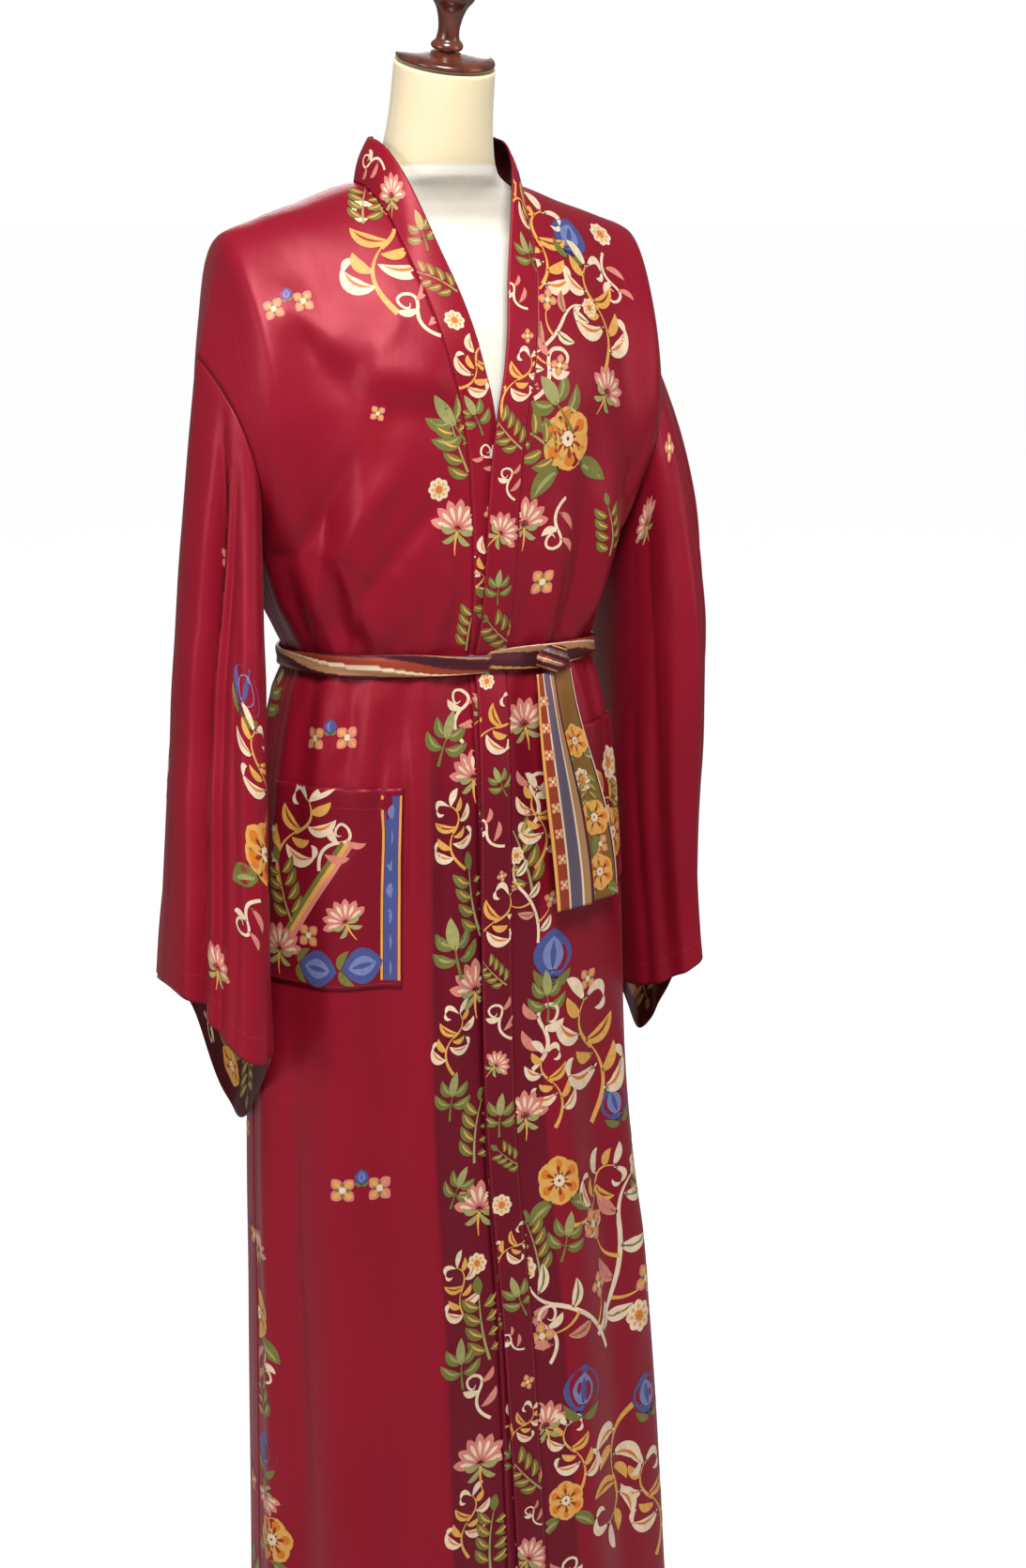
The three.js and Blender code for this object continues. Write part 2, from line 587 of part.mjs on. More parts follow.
// ---------------------------------------------------------------- the dress form and its stand
// One section of the form, tilted to follow its axis.
function formRing(row) {
  return Array.from({ length: FORM_COLUMNS }, (_, c) => {
    const angle = (2 * Math.PI * c) / FORM_COLUMNS;
    const depth = Math.cos(angle) > 0 ? row.front : row.back;
    const y = -depth * Math.sign(Math.cos(angle)) * Math.abs(Math.cos(angle)) ** FORM_POWER;
    const x = row.side * Math.sign(Math.sin(angle)) * Math.abs(Math.sin(angle)) ** FORM_POWER;
    const tilt = (row.tilt * Math.PI) / 180;
    return new THREE.Vector3(x, y * Math.cos(tilt) - row.lean, row.z + y * Math.sin(tilt));
  });
}

const turned = (profile) =>
  new THREE.LatheGeometry(profile.map(([r, h]) => new THREE.Vector2(r, h)), 28).rotateX(Math.PI / 2);

function addForm(group) {
  const add = (name, geometry, look) => {
    const mesh = new THREE.Mesh(geometry, new THREE.MeshStandardMaterial(look));
    mesh.name = name;
    group.add(mesh);
    return mesh;
  };
  add("form_torso", loft(FORM_RINGS.map(formRing)), LINEN);

  // The cap and finial sit square on the neck, which leans forward.
  const neck = FORM_RINGS[FORM_RINGS.length - 1];
  const head = new THREE.Group();
  head.position.set(0, -neck.lean, neck.z);
  head.rotation.x = (neck.tilt * Math.PI) / 180;
  const capHeight = CAP_PROFILE[CAP_PROFILE.length - 1][1];
  const cap = new THREE.Mesh(turned(CAP_PROFILE), new THREE.MeshStandardMaterial(WOOD));
  cap.name = "neck_cap";
  cap.position.z = SEAM_GAP;
  const finial = new THREE.Mesh(turned(FINIAL_PROFILE), new THREE.MeshStandardMaterial(WOOD));
  finial.name = "finial";
  finial.position.z = SEAM_GAP * 2 + capHeight;
  head.add(cap, finial);
  group.add(head);

  const floor = BASE.dome + BASE.hub;
  const top = FORM_RINGS[0].z - SEAM_GAP;
  add(
    "stand_pole",
    turned([
      [0, floor + SEAM_GAP], [POLE.radius, floor + SEAM_GAP],
      [POLE.radius, top - POLE.flange - POLE.collar],
      [POLE.collarRadius, top - POLE.flange - POLE.collar + 4],
      [POLE.collarRadius, top - POLE.flange], [POLE.flangeRadius, top - POLE.flange + 3],
      [POLE.flangeRadius, top], [0, top],
    ]),
    WOOD,
  );
  add(
    "stand_base",
    turned([
      [0, 0], [BASE.radius - 6, 0], [BASE.radius, 5], [BASE.radius, BASE.edge - 5],
      [BASE.radius - 7, BASE.edge], [BASE.hubRadius + 22, BASE.dome - 2],
      [BASE.hubRadius, BASE.dome + 4], [BASE.hubRadius - 6, BASE.dome + BASE.hub - 6],
      [BASE.hubRadius - 9, BASE.dome + BASE.hub], [0, BASE.dome + BASE.hub],
    ]),
    WOOD,
  );
}

// ---------------------------------------------------------------- the whole
function addRobe(group) {
  const axis = (p) => new THREE.Vector3(0, 0, Math.min(p.z, 1300));
  const sleeveAxis = (side) => (p) => new THREE.Vector3(side * 220, 0, Math.min(p.z, 1180));
  const back = backGrid();
  const front = { right: frontGrid(-1), left: frontGrid(1) };
  const panels = {
    back: { grid: back, inside: axis },
    front_right: { grid: front.right, inside: axis },
    front_left: { grid: front.left, inside: axis },
    neckband_right: { grid: bandGrid(-1, front.right, back), inside: axis },
    neckband_left: { grid: bandGrid(1, front.left, back), inside: axis },
    sleeve_right: { grid: sleeveGrid(-1, front.right, back), closed: true, inside: sleeveAxis(-1) },
    sleeve_left: { grid: sleeveGrid(1, front.left, back), closed: true, inside: sleeveAxis(1) },
  };
  for (const panel of Object.values(panels))
    panel.normals = gridNormals(panel.grid, panel.closed, panel.inside);
  shareNormals(Object.values(panels));
  const add = (name, geometry, look = SILK) => {
    const mesh = new THREE.Mesh(geometry, new THREE.MeshStandardMaterial(look));
    mesh.name = name;
    group.add(mesh);
  };
  for (const [name, { grid, normals, closed }] of Object.entries(panels))
    add(name, wall(drawnIn(grid, closed), normals, closed));

  for (const [name, pocket] of Object.entries(POCKETS)) {
    const panel = panels["front_" + name];
    const rowOf = (z) => RISES.length + LEVELS.indexOf(z);
    const part = (rows) =>
      rows
        .slice(rowOf(pocket.top), rowOf(pocket.bottom) + 1)
        .map((row) => row.slice(pocket.from, pocket.to + 1));
    add(
      "pocket_" + name,
      wall(part(panel.grid), part(panel.normals), false, CLOTH, CLOTH + SEAM_GAP),
      BORDER,
    );
  }

  const belt = beltGrid();
  add("belt", wall(belt, gridNormals(belt, true, axis), true, BELT.thick, BELT.out), BORDER);
  group.add(knotMesh());
  for (const [name, tail] of Object.entries(TAILS)) {
    const grid = tailGrid(tail);
    add("belt_tail_" + name, wall(grid, gridNormals(grid, false, axis), false, TAIL.thick), BORDER);
  }
}

const robe = new THREE.Group();
addForm(robe);
addRobe(robe);

export default robe;
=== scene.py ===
"""A long printed silk kimono robe on a limbless dress form with a turned wooden stand.

Every piece is a surface worked out with numpy from the tables below, in millimetres, and put
into its mesh in metres. The robe's front faces -Y, and the wearer's left side is +X.
"""

import math
from functools import lru_cache

import bpy
import numpy as np
from bpy.props import FloatProperty, FloatVectorProperty, PointerProperty
from mathutils import Matrix, Vector


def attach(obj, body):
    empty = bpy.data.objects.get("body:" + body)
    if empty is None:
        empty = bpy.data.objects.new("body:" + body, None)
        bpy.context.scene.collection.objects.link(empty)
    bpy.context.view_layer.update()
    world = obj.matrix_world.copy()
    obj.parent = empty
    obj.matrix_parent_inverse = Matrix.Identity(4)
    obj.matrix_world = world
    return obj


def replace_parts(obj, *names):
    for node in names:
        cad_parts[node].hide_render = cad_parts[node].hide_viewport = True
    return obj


bl_info = {
    "name": "Kimono Robe on a Dress Form",
    "version": (1, 0, 0),
    "blender": (4, 5, 0),
    "location": "View3D > Sidebar > Robe",
    "description": "Builds a printed silk robe, its belt, a dress form and a small studio",
    "category": "Add Mesh",
}

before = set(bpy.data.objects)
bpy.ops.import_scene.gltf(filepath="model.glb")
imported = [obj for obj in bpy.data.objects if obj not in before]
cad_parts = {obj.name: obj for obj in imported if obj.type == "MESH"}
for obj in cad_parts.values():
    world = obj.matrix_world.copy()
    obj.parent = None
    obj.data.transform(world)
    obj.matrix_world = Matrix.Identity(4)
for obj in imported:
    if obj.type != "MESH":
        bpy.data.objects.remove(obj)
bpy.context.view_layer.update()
MM = 0.001

# ------------------------------------------------------------------ the robe's sizes, in mm
UNDERARM_Z = 1120.0  # level of the top of the side seams
HEM_Z = 85.0
WAIST_Z = 1021.0  # middle of the belt
CHEST_Z = 1300.0  # the form's axis is taken to end here
RING_POWER = 2.25  # roundness of the body's sections, 2 is an ellipse
SHOULDER_Y = 4.0  # the shoulder seam lies a little behind the middle
ARM_BULGE = 56.0  # half depth of the armhole
BAND = 30.0  # width of the neckband
BAND_INWARD, BAND_UP = 13.0, 38.0  # how the neckband stands at the neck
NECK_Q = 0.25  # place of the neck points along the shoulder line
NECK_DIP = 0.054
LAYER = 5.0  # the right front lies this far under the left one
LAYER_X, LAYER_EASE_X = 75, 55  # how far from the middle it starts, and eases in
LAYER_TOP, LAYER_EASE_Z = 1305, 60
CREASE_REACH = 280.0  # width of cloth to one q, for the slanting creases
CRUMPLE, CRUMPLE_REACH = 0.9, 42  # height and reach of the fine creases by the belt
SLEEVE_POWER, FORM_POWER = 0.9, 0.95  # roundness of these sections, 1 is an ellipse
SLEEVE_ROUND = 144  # points round each ring of a sleeve
BAND_THICK, POCKET_THICK, TAIL_THICK = 1.6, 1.2, 1.4
PRINT_SCALE = 1.38
PRINT_LIFT = 0.2  # how far the print's faces stand off the cloth
PRINT_LAYER, PRINT_STEP = 0.12, 0.03  # rise through one motif, and from motif to motif
STITCH, STITCH_STEP, STITCH_HALF, STITCH_LIFT = 2.2, 3.4, 0.32, 0.25
BELT_HEIGHT, BELT_OUT, BELT_THICK = 25.0, 5.5, 4.0
BELT_ROUND, BELT_LONG = 0.106, 0.777  # its girth and length in metres, as a texture's u and v
BELT_WRAP, BELT_SWELL, BELT_SAG = 96, 205, 310  # length of belt to one wave of each
TAIL_TOP, TAIL_BOTTOM = 1009.0, 795.0
KNOT_X, KNOT_Y, KNOT_OUT = 54.0, 95.0, 17.0  # its place, and distance out from the section
KNOT_SIZE = (17, 9.2, 12.5)
CAP_GAP, FINIAL_FOOT = 0.3, 13.1  # heights above the neck's top
NECK_JOIN = 1447  # level of the join between the body's cover and the neck's

# Sections below the underarm: level, half width, depth before and behind, and sideways swing.
ROBE_RINGS = [
    (85, 211, 150, 144, 20),
    (400, 198, 136, 132, 11),
    (560, 189, 128, 124, 2),
    (640, 185, 124, 121, 0),
    (800, 177, 119, 117, 0),
    (900, 168, 116, 112, 0),
    (987, 152, 108, 97, 0),
    (1021, 142, 103, 88, 0),
    (1046, 151, 109, 93, 0),
    (1072, 163, 114, 99, 0),
    (1120, 178, 119, 108, 0),
]
# The shoulder line from the neck's middle (q 0) to the armhole seam (q 1): q, x, level.
SHOULDER = [
    (0, 0, 1440),
    (0.25, 74, 1431),
    (0.45, 125, 1414),
    (0.65, 168, 1400),
    (0.78, 198, 1387),
    (0.9, 209, 1345),
    (1, 222, 1284),
]
# Share of the underarm's depth before and behind, by rise from underarm (0) to shoulder (1).
REACH = [
    (0, 1, 1),
    (0.2, 1.02, 1.05),
    (0.4, 1.03, 1.07),
    (0.55, 0.97, 1.07),
    (0.7, 0.83, 1.02),
    (0.82, 0.64, 0.93),
    (0.91, 0.46, 0.78),
    (0.96, 0.31, 0.58),
    (0.99, 0.15, 0.29),
    (1, 0, 0),
]
# Where the neckband is sewn on: level and distance from the middle.
NECKLINE = [
    (85, 20),
    (744, 14),
    (1021, 17),
    (1100, 19),
    (1180, 23),
    (1242, 31),
    (1280, 40),
    (1330, 51),
    (1363, 59),
    (1400, 66),
    (1431, 74),
]
# Height of the small gathers above and below the belt, by level.
GATHERS = [
    (85, 0),
    (800, 0),
    (900, 2),
    (970, 3),
    (1005, 1.6),
    (1021, 0.5),
    (1038, 1.6),
    (1062, 2.8),
    (1120, 1.2),
    (1180, 0),
]
GATHER_WAVES = {-1: 4.5, 1: 5.5}
# Large folds: side (-1 front, 1 back), q, width in q, depth, top, bottom, fade.
BODY_FOLDS = [
    (-1, -0.2, 0.07, 5, 1000, 60, 160),
    (-1, -0.36, 0.07, -7, 960, 60, 260),
    (-1, -0.55, 0.09, 7, 940, 60, 260),
    (-1, -0.76, 0.07, -8, 800, 60, 260),
    (-1, -0.92, 0.06, 5, 820, 60, 260),
    (-1, 0.2, 0.06, 4, 800, 60, 260),
    (-1, 0.36, 0.07, -7, 780, 60, 260),
    (-1, 0.55, 0.08, 6, 780, 60, 260),
    (-1, 0.75, 0.07, -7, 790, 60, 260),
    (-1, -0.42, 0.08, 7, 1260, 1030, 90),
    (-1, -0.62, 0.08, -7, 1250, 1030, 90),
    (-1, 0.34, 0.06, -5, 1240, 1030, 90),
    (-1, 0.5, 0.08, 6, 1250, 1030, 90),
    (-1, 0.7, 0.07, -6, 1240, 1030, 90),
    (1, -0.82, 0.07, -7, 900, 60, 280),
    (1, -0.6, 0.08, 6, 900, 60, 280),
    (1, -0.38, 0.08, -8, 940, 60, 280),
    (1, -0.14, 0.08, 6, 940, 60, 280),
    (1, 0.1, 0.07, -7, 950, 60, 280),
    (1, 0.33, 0.08, 7, 930, 60, 280),
    (1, 0.57, 0.08, -7, 900, 60, 280),
    (1, 0.8, 0.07, 6, 900, 60, 280),
    (1, -0.5, 0.08, -5, 1250, 1030, 100),
    (1, -0.2, 0.08, 4, 1230, 1030, 100),
    (1, 0.15, 0.08, -5, 1240, 1030, 100),
    (1, 0.5, 0.08, 5, 1240, 1030, 100),
]
# Soft slanting creases: side, q and level of one end, q and level of the other, width, depth.
CREASES = [
    (-1, -0.72, 1352, -0.45, 1274, 20, 5.0),
    (-1, -0.45, 1274, -0.10, 1262, 20, 5.0),
    (-1, -0.70, 1312, -0.40, 1240, 17, -4.0),
    (-1, -0.40, 1240, -0.08, 1228, 17, -4.0),
    (-1, -0.22, 1225, -0.76, 1056, 14, 5.0),
    (-1, -0.40, 1222, -0.84, 1100, 12, -4.2),
    (-1, -0.10, 1190, -0.58, 1052, 10, -3.6),
    (-1, -0.52, 1120, -0.53, 1044, 7, 3.0),
    (-1, -0.44, 1112, -0.43, 1044, 7, -3.2),
    (-1, -0.34, 1122, -0.34, 1044, 7, 2.6),
    (-1, -0.24, 1106, -0.25, 1044, 7, -2.6),
    (-1, -0.15, 1120, -0.17, 1044, 7, 2.2),
    (-1, -0.30, 996, -0.27, 760, 8, 5.0),
    (-1, -0.21, 996, -0.19, 640, 8, -5.5),
    (-1, -0.135, 996, -0.13, 620, 8, 6.0),
    (-1, -0.41, 996, -0.44, 850, 8, -4.5),
    (-1, -0.62, 996, -0.60, 930, 8, 2.6),
    (-1, 0.24, 1112, 0.25, 1044, 7, -2.8),
    (-1, 0.36, 1120, 0.35, 1044, 7, 2.8),
    (-1, 0.50, 1110, 0.50, 1044, 7, -2.8),
    (-1, 0.28, 996, 0.26, 820, 8, -2.6),
    (-1, 0.5, 996, 0.54, 860, 8, 2.6),
    (-1, -0.25, 1330, -0.40, 1290, 9, 1.2),
    (-1, 0.14, 1230, 0.55, 1090, 12, 2.2),
    (-1, 0.16, 1190, 0.42, 1060, 9, -1.8),
    (-1, 0.25, 1290, 0.80, 1190, 13, 2.0),
    (-1, -0.85, 1230, -0.55, 1120, 12, -2.2),
    (-1, 0.85, 1240, 0.6, 1140, 12, -2.2),
    (-1, -0.30, 960, -0.55, 820, 10, 2.2),
    (-1, -0.5, 940, -0.28, 800, 9, -1.6),
    (-1, 0.30, 770, 0.62, 600, 12, 1.8),
    (-1, -0.35, 640, -0.15, 430, 13, 1.6),
    (-1, 0.62, 520, 0.40, 300, 13, 1.6),
    (1, -0.6, 1230, -0.2, 1090, 13, 2.4),
    (1, 0.6, 1240, 0.2, 1090, 13, 2.4),
    (1, -0.3, 1370, -0.75, 1290, 14, -2.0),
    (1, 0.3, 1370, 0.75, 1290, 14, -2.0),
    (1, -0.5, 950, -0.2, 800, 12, 2.0),
    (1, 0.45, 950, 0.1, 760, 12, -2.0),
    (1, 0.2, 560, -0.1, 330, 13, 1.6),
]
# The open end of each sleeve: distance from the middle, how far it is carried forward, half
# width, half depth in front and behind, levels of the outer and inner folds, how far the front
# edge hangs below them, the rim's low point (place round it, depth, width), and the swell above.
SLEEVES = {
    -1: (235, 20, 43, 95, 80, 746, 700, -30, 0.57, -105, 0.11, 3),
    1: (226, 6, 34, 80, 80, 742, 680, 0, 0.89, -125, 0.12, 32),
}
# Lengthwise folds: share of the way round, width, depth, start.
SLEEVE_FOLDS = [
    (0.125, 0.045, -13, 0.02),
    (0.24, 0.05, 6, 0.1),
    (0.34, 0.04, -6, 0.3),
    (0.66, 0.045, -7, 0.25),
    (0.76, 0.05, 6, 0.15),
    (0.87, 0.045, -11, 0.08),
]
# Sharper folds on the sleeves' faces, in the same form.
SLEEVE_CREASES = [
    (0.078, 0.017, -15, 0.04),
    (0.118, 0.017, 7.5, 0.06),
    (0.19, 0.016, -3.5, 0.2),
    (0.29, 0.018, 3.0, 0.3),
    (0.42, 0.018, -3.5, 0.35),
    (0.6, 0.018, 3.5, 0.35),
    (0.71, 0.016, -3.5, 0.3),
    (0.81, 0.016, 3.0, 0.2),
    (0.94, 0.015, -4.0, 0.1),
]
# Patch pockets: side, range of the front's columns (0 to 1), top and bottom level.
POCKETS = {
    "pocket_right": (-1, 3 / 11, 10 / 11, 917, 738),
    "pocket_left": (1, 2 / 11, 8 / 11, 955, 800),
}
# Belt ends: x and half width at the top and bottom, and distance out from the cloth.
TAILS = {
    "belt_tail_inner": (45, 70, 9, 20, 17.5),
    "belt_tail_outer": (65.5, 108, 9, 18, 13),
}
# The print: for each piece its motifs, with the share along the rows and down the columns, the
# turn in degrees and the scale.
PRINT = {
    "front_right": [
        ("scroll", 0.07, 0.078, 18, 0.72), ("tendril", 0.03, 0.126, -20, 0.62),
        ("sprig", 0.05, 0.029, 30, 0.5), ("double", 0.55, 0.099, 4, 0.75),
        ("palm", 0.05, 0.265, 10, 0.62), ("sprig", 0.02, 0.217, -14, 0.62),
        ("daisy", 0.11, 0.241, 0, 0.5), ("sprig", 0.0, 0.324, 8, 0.45),
        ("double", 0.61, 0.391, -4, 0.85), ("double", 0.43, 0.673, 2, 0.95),
        ("bloom", 0.99, 0.772, 0, 0.75), ("sprig", 0.97, 0.823, -16, 0.6),
        ("bud", 0.93, 0.863, 10, 0.8), ("bloom", 0.89, 0.922, 20, 0.72),
        ("palm", 0.93, 0.893, 180, 0.5), ("palm", 0.98, 0.729, 10, 0.5),
        ("tendril", 0.95, 0.802, 170, 0.6), ("tendril", 0.02, 0.378, 10, 0.6),
        ("palm", 0.01, 0.418, 0, 0.6), ("sprig", 0.02, 0.493, -10, 0.68),
        ("palm", 0.02, 0.552, 0, 0.7), ("sprig", 0.02, 0.641, 10, 0.62),
        ("palm", 0.03, 0.694, 8, 0.66), ("sprig", 0.04, 0.769, -6, 0.7),
        ("tendril", 0.05, 0.815, -12, 0.62), ("palm", 0.07, 0.863, 0, 0.7),
        ("sprig", 0.04, 0.914, 6, 0.62), ("daisy", 0.05, 0.729, 0, 0.5),
        ("cross", 0.3, 0.19, 20, 0.5), ("sprig", 0.86, 0.97, 10, 0.6),
        ("leaves", 0.1, 0.39, 20, 0.62), ("leaves", 0.09, 0.52, -10, 0.7),
        ("scroll", 0.09, 0.58, 10, 0.4), ("leaves", 0.1, 0.615, 10, 0.55),
        ("scroll", 0.1, 0.745, -12, 0.42), ("leaves", 0.12, 0.79, 0, 0.6),
        ("scroll", 0.11, 0.9, 10, 0.42), ("scroll", 0.08, 0.45, -10, 0.42),
        ("leaves", 0.04, 0.2, -30, 0.75), ("leaves", 0.09, 0.675, 30, 0.5),
    ],
    "front_left": [
        ("scroll", 0.02, 0.078, -14, 0.7), ("bud", 0.21, 0.059, -14, 0.85),
        ("scroll", 0.31, 0.121, 10, 0.72), ("branch", 0.07, 0.142, -52, 0.6),
        ("tendril", 0.03, 0.169, -30, 0.8), ("bloom", 0.17, 0.214, 10, 0.86),
        ("sprig", 0.03, 0.214, 60, 0.72), ("palm", 0.37, 0.182, -30, 0.6),
        ("daisy", 0.45, 0.04, 0, 0.6), ("tendril", 0.49, 0.088, -160, 0.6),
        ("palm", 0.02, 0.265, 0, 0.6), ("sprig", 0.41, 0.271, 12, 0.5),
        ("tendril", 0.17, 0.268, 170, 0.6), ("cross", 0.11, 0.3, 0, 0.9),
        ("palm", 0.07, 0.389, 10, 0.6), ("tendril", 0.07, 0.434, -10, 0.72),
        ("sprig", 0.03, 0.469, 20, 0.7), ("bud", 0.15, 0.536, -6, 0.95),
        ("branch", 0.05, 0.499, 20, 0.5), ("scroll", 0.32, 0.606, 8, 0.85),
        ("bud", 0.45, 0.646, 16, 0.75), ("tendril", 0.08, 0.584, -10, 0.8),
        ("bloom", 0.13, 0.684, 0, 0.72), ("palm", 0.03, 0.638, 0, 0.6),
        ("sprig", 0.02, 0.724, 10, 0.6), ("branch", 0.39, 0.745, -24, 1.0),
        ("branch", 0.13, 0.775, 48, 0.8), ("tendril", 0.03, 0.783, 10, 0.72),
        ("bud", 0.15, 0.828, -8, 0.95), ("bud", 0.49, 0.853, 6, 0.85),
        ("scroll", 0.31, 0.898, 160, 0.8), ("palm", 0.02, 0.847, 10, 0.62),
        ("bloom", 0.07, 0.901, 0, 0.6), ("daisy", 0.47, 0.796, 0, 0.8),
        ("sprig", 0.59, 0.697, -14, 0.62), ("cross", 0.32, 0.558, 0, 0.8),
        ("scroll", 0.47, 0.93, 10, 0.7), ("tendril", 0.05, 0.955, 0, 0.6),
        ("bloom", 0.82, 0.84, 0, 0.7), ("sprig", 0.86, 0.92, 20, 0.6),
        ("leaves", 0.1, 0.19, 40, 0.8),
        ("scroll", 0.12, 0.62, 10, 0.5), ("leaves", 0.12, 0.56, 0, 0.6),
        ("scroll", 0.1, 0.45, 0, 0.5), ("leaves", 0.14, 0.72, -20, 0.6),
        ("scroll", 0.3, 0.7, -60, 0.6), ("scroll", 0.1, 0.87, 10, 0.5),
    ],
    "sleeve_right": [
        ("bud", 0.21, 0.396, -12, 0.85), ("scroll", 0.26, 0.51, 14, 0.55),
        ("bloom", 0.29, 0.638, 0, 0.82), ("tendril", 0.24, 0.765, 160, 0.55),
        ("cross", 0.09, 0.268, 0, 0.7), ("palm", 0.14, 0.9, 0, 0.5),
        ("bloom", 0.72, 0.5, 30, 0.7), ("sprig", 0.66, 0.35, 10, 0.6),
        ("scroll", 0.85, 0.7, -20, 0.6),
    ],
    "sleeve_left": [
        ("palm", 0.34, 0.101, -10, 0.5), ("cross", 0.19, 0.054, 0, 0.7),
        ("bloom", 0.05, 0.6, 30, 0.7),
        ("scroll", 0.92, 0.4, 10, 0.6), ("bud", 0.98, 0.75, 10, 0.8),
    ],
    "pocket_right": [
        ("rails", 0.07, 0.5, 0, 1.0), ("sash", 0.5, 0.55, 0, 1.0),
        ("scroll", 0.74, 0.26, 24, 0.62), ("sprig", 0.84, 0.52, -20, 0.6),
        ("bud", 0.24, 0.88, 80, 0.72), ("bud", 0.52, 0.9, 96, 0.72),
        ("palm", 0.86, 0.84, 0, 0.6), ("tendril", 0.4, 0.3, 40, 0.6),
        ("palm", 0.34, 0.66, -30, 0.5), ("cross", 0.6, 0.74, 0, 0.8),
    ],
    "pocket_left": [
        ("bloom", 0.3, 0.4, 0, 0.8), ("bloom", 0.7, 0.7, 20, 0.75), ("daisy", 0.72, 0.28, 0, 0.8),
        ("tendril", 0.3, 0.78, 0, 0.7), ("scroll", 0.5, 0.5, 60, 0.6), ("sprig", 0.86, 0.5, 0, 0.5),
    ],
    "belt_tail_inner": [
        ("cross", 0.2, k / 9, 0, 0.4) for k in range(1, 9)
    ],
    "belt_tail_outer": [
        ("bloom", 0.5, 0.3, 0, 0.5), ("daisy", 0.4, 0.47, 0, 0.6), ("bloom", 0.55, 0.64, 30, 0.55),
        ("sprig", 0.5, 0.52, 170, 0.4), ("bloom", 0.45, 0.88, 0, 0.55), ("cross", 0.6, 0.76, 0, 0.7),
    ],
}
# How much darker the ground is on each panel: all over, which is painted shade on the back and the
# far front, and the printed dark border's share of the rows.
PAINTED_SHADE_AND_BORDER = {"back": (0.15, 0.0), "front_right": (0.0, 0.17), "front_left": (0.16, 0.1)}
SEAM_STITCHES = {
    "front_right": [(0.985, 0.3, 0.985, 1)], "front_left": [(0.985, 0.3, 0.985, 1)],
    "back": [(0.008, 0.3, 0.008, 1), (0.992, 0.3, 0.992, 1)],
}
# The neckbands carry small motifs in turn, and so do the linings at the cuffs.
BAND_MOTIFS = ("scroll", "sprig", "tendril", "palm", "leaves", "sprig", "daisy", "scroll", "leaves",
               "tendril", "cross")
CUFF_MOTIFS = ("bloom", "palm", "sprig", "bloom", "tendril", "palm")
BACK_MOTIFS = ("bloom", "scroll", "leaves", "palm", "bud", "branch", "tendril", "double", "daisy")
# The dress form: level, half width, depth before and behind, lean forward, tilt in degrees.
FORM_RINGS = [
    (768, 138, 88, 92, 0, 0),
    (776, 148, 95, 99, 0, 0),
    (800, 154, 99, 103, 0, 0),
    (860, 155, 100, 104, 0, 0),
    (930, 140, 93, 92, 0, 0),
    (1004, 118, 82, 74, 0, 0),
    (1080, 132, 93, 82, 0, 0),
    (1160, 146, 101, 91, 0, 0),
    (1240, 152, 105, 96, 0, 0),
    (1300, 158, 90, 96, 0, 0),
    (1345, 174, 64, 82, 0, 0),
    (1374, 184, 42, 56, 0, 0),
    (1387.8, 180, 26, 36, 0, 0),
    (1397.8, 161, 24, 34, 0, 0),
    (1412.7, 118, 28, 39, 0, 0),
    (1425.5, 76.3, 33, 44, 2, 0),
    (1439.5, 56, 41, 46, 6, 2),
    (1460, 49, 42, 45, 11, 6),
    (1492, 45, 42, 43, 17, 12),
    (1530, 43.5, 43, 43, 24, 16),
]
NECK_LEAN, NECK_TILT, NECK_TOP = 24.0, 16.0, 1530.0
# Turned wood: radius and height above the piece's own foot.
CAP = [(0, 0), (38, 0), (42, 1.8), (43.5, 4.5), (42, 7.5), (35, 9.5), (13, 12), (0, 12.5)]
FINIAL = [
    (0, 0), (13, 0), (14.5, 3), (13, 6.5), (10, 9), (9, 17), (10.5, 27), (13.5, 36),
    (19, 43), (22, 52), (20, 61), (13.5, 69), (6, 74), (5, 78), (0, 80),
]
POLE = [
    (0, 66.3), (15, 66.3), (15, 733.7), (22, 737.7), (22, 757.7), (42, 760.7),
    (42, 767.7), (0, 767.7),
]
FOOT = [
    (0, 0), (169, 0), (175, 5), (175, 11), (168, 16), (54, 24), (32, 30), (26, 60),
    (23, 66), (0, 66),
]


# ------------------------------------------------------------------ small helpers
def smooth(x):
    """Eases from 0 to 1: three squares less two cubes of the clamped value."""
    x = np.clip(x, 0.0, 1.0)
    return x * x * (3 - 2 * x)


def mix(a, b, t):
    return a + (b - a) * t


def bell(x):
    return np.exp(-x * x)


def curve(table, column, at):
    """A column of a table at the keys at: cubic pieces whose slopes are harmonic means."""
    rows = np.asarray(table, float)
    key, value = rows[:, 0], rows[:, column]
    step = np.diff(value) / np.diff(key)
    slope = np.empty(len(key))
    slope[0], slope[-1] = step[0], step[-1]
    product = step[:-1] * step[1:]
    total = step[:-1] + step[1:]
    safe = np.where(product > 0, total, 1.0)
    slope[1:-1] = np.where(product > 0, 2 * product / safe, 0.0)
    at = np.clip(np.asarray(at, float), key[0], key[-1])
    i = np.clip(np.searchsorted(key, at, side="right") - 1, 0, len(key) - 2)
    width = key[i + 1] - key[i]
    t = (at - key[i]) / width
    return (
        value[i] * (1 + 2 * t) * (1 - t) ** 2
        + value[i + 1] * t * t * (3 - 2 * t)
        + width * (slope[i] * t * (1 - t) ** 2 - slope[i + 1] * t * t * (1 - t))
    )


def stacked(*columns):
    """Numbers and arrays of like shape side by side as points."""
    return np.stack(np.broadcast_arrays(*columns), -1)


def with_alpha(colours):
    return np.concatenate([colours, np.ones((len(colours), 1))], -1)


def rounded(wave, power):
    """A cosine or sine to a power, with its sign kept."""
    return np.sign(wave) * np.abs(wave) ** power


def unit(v):
    return v / np.maximum(np.linalg.norm(v, axis=-1, keepdims=True), 1e-12)


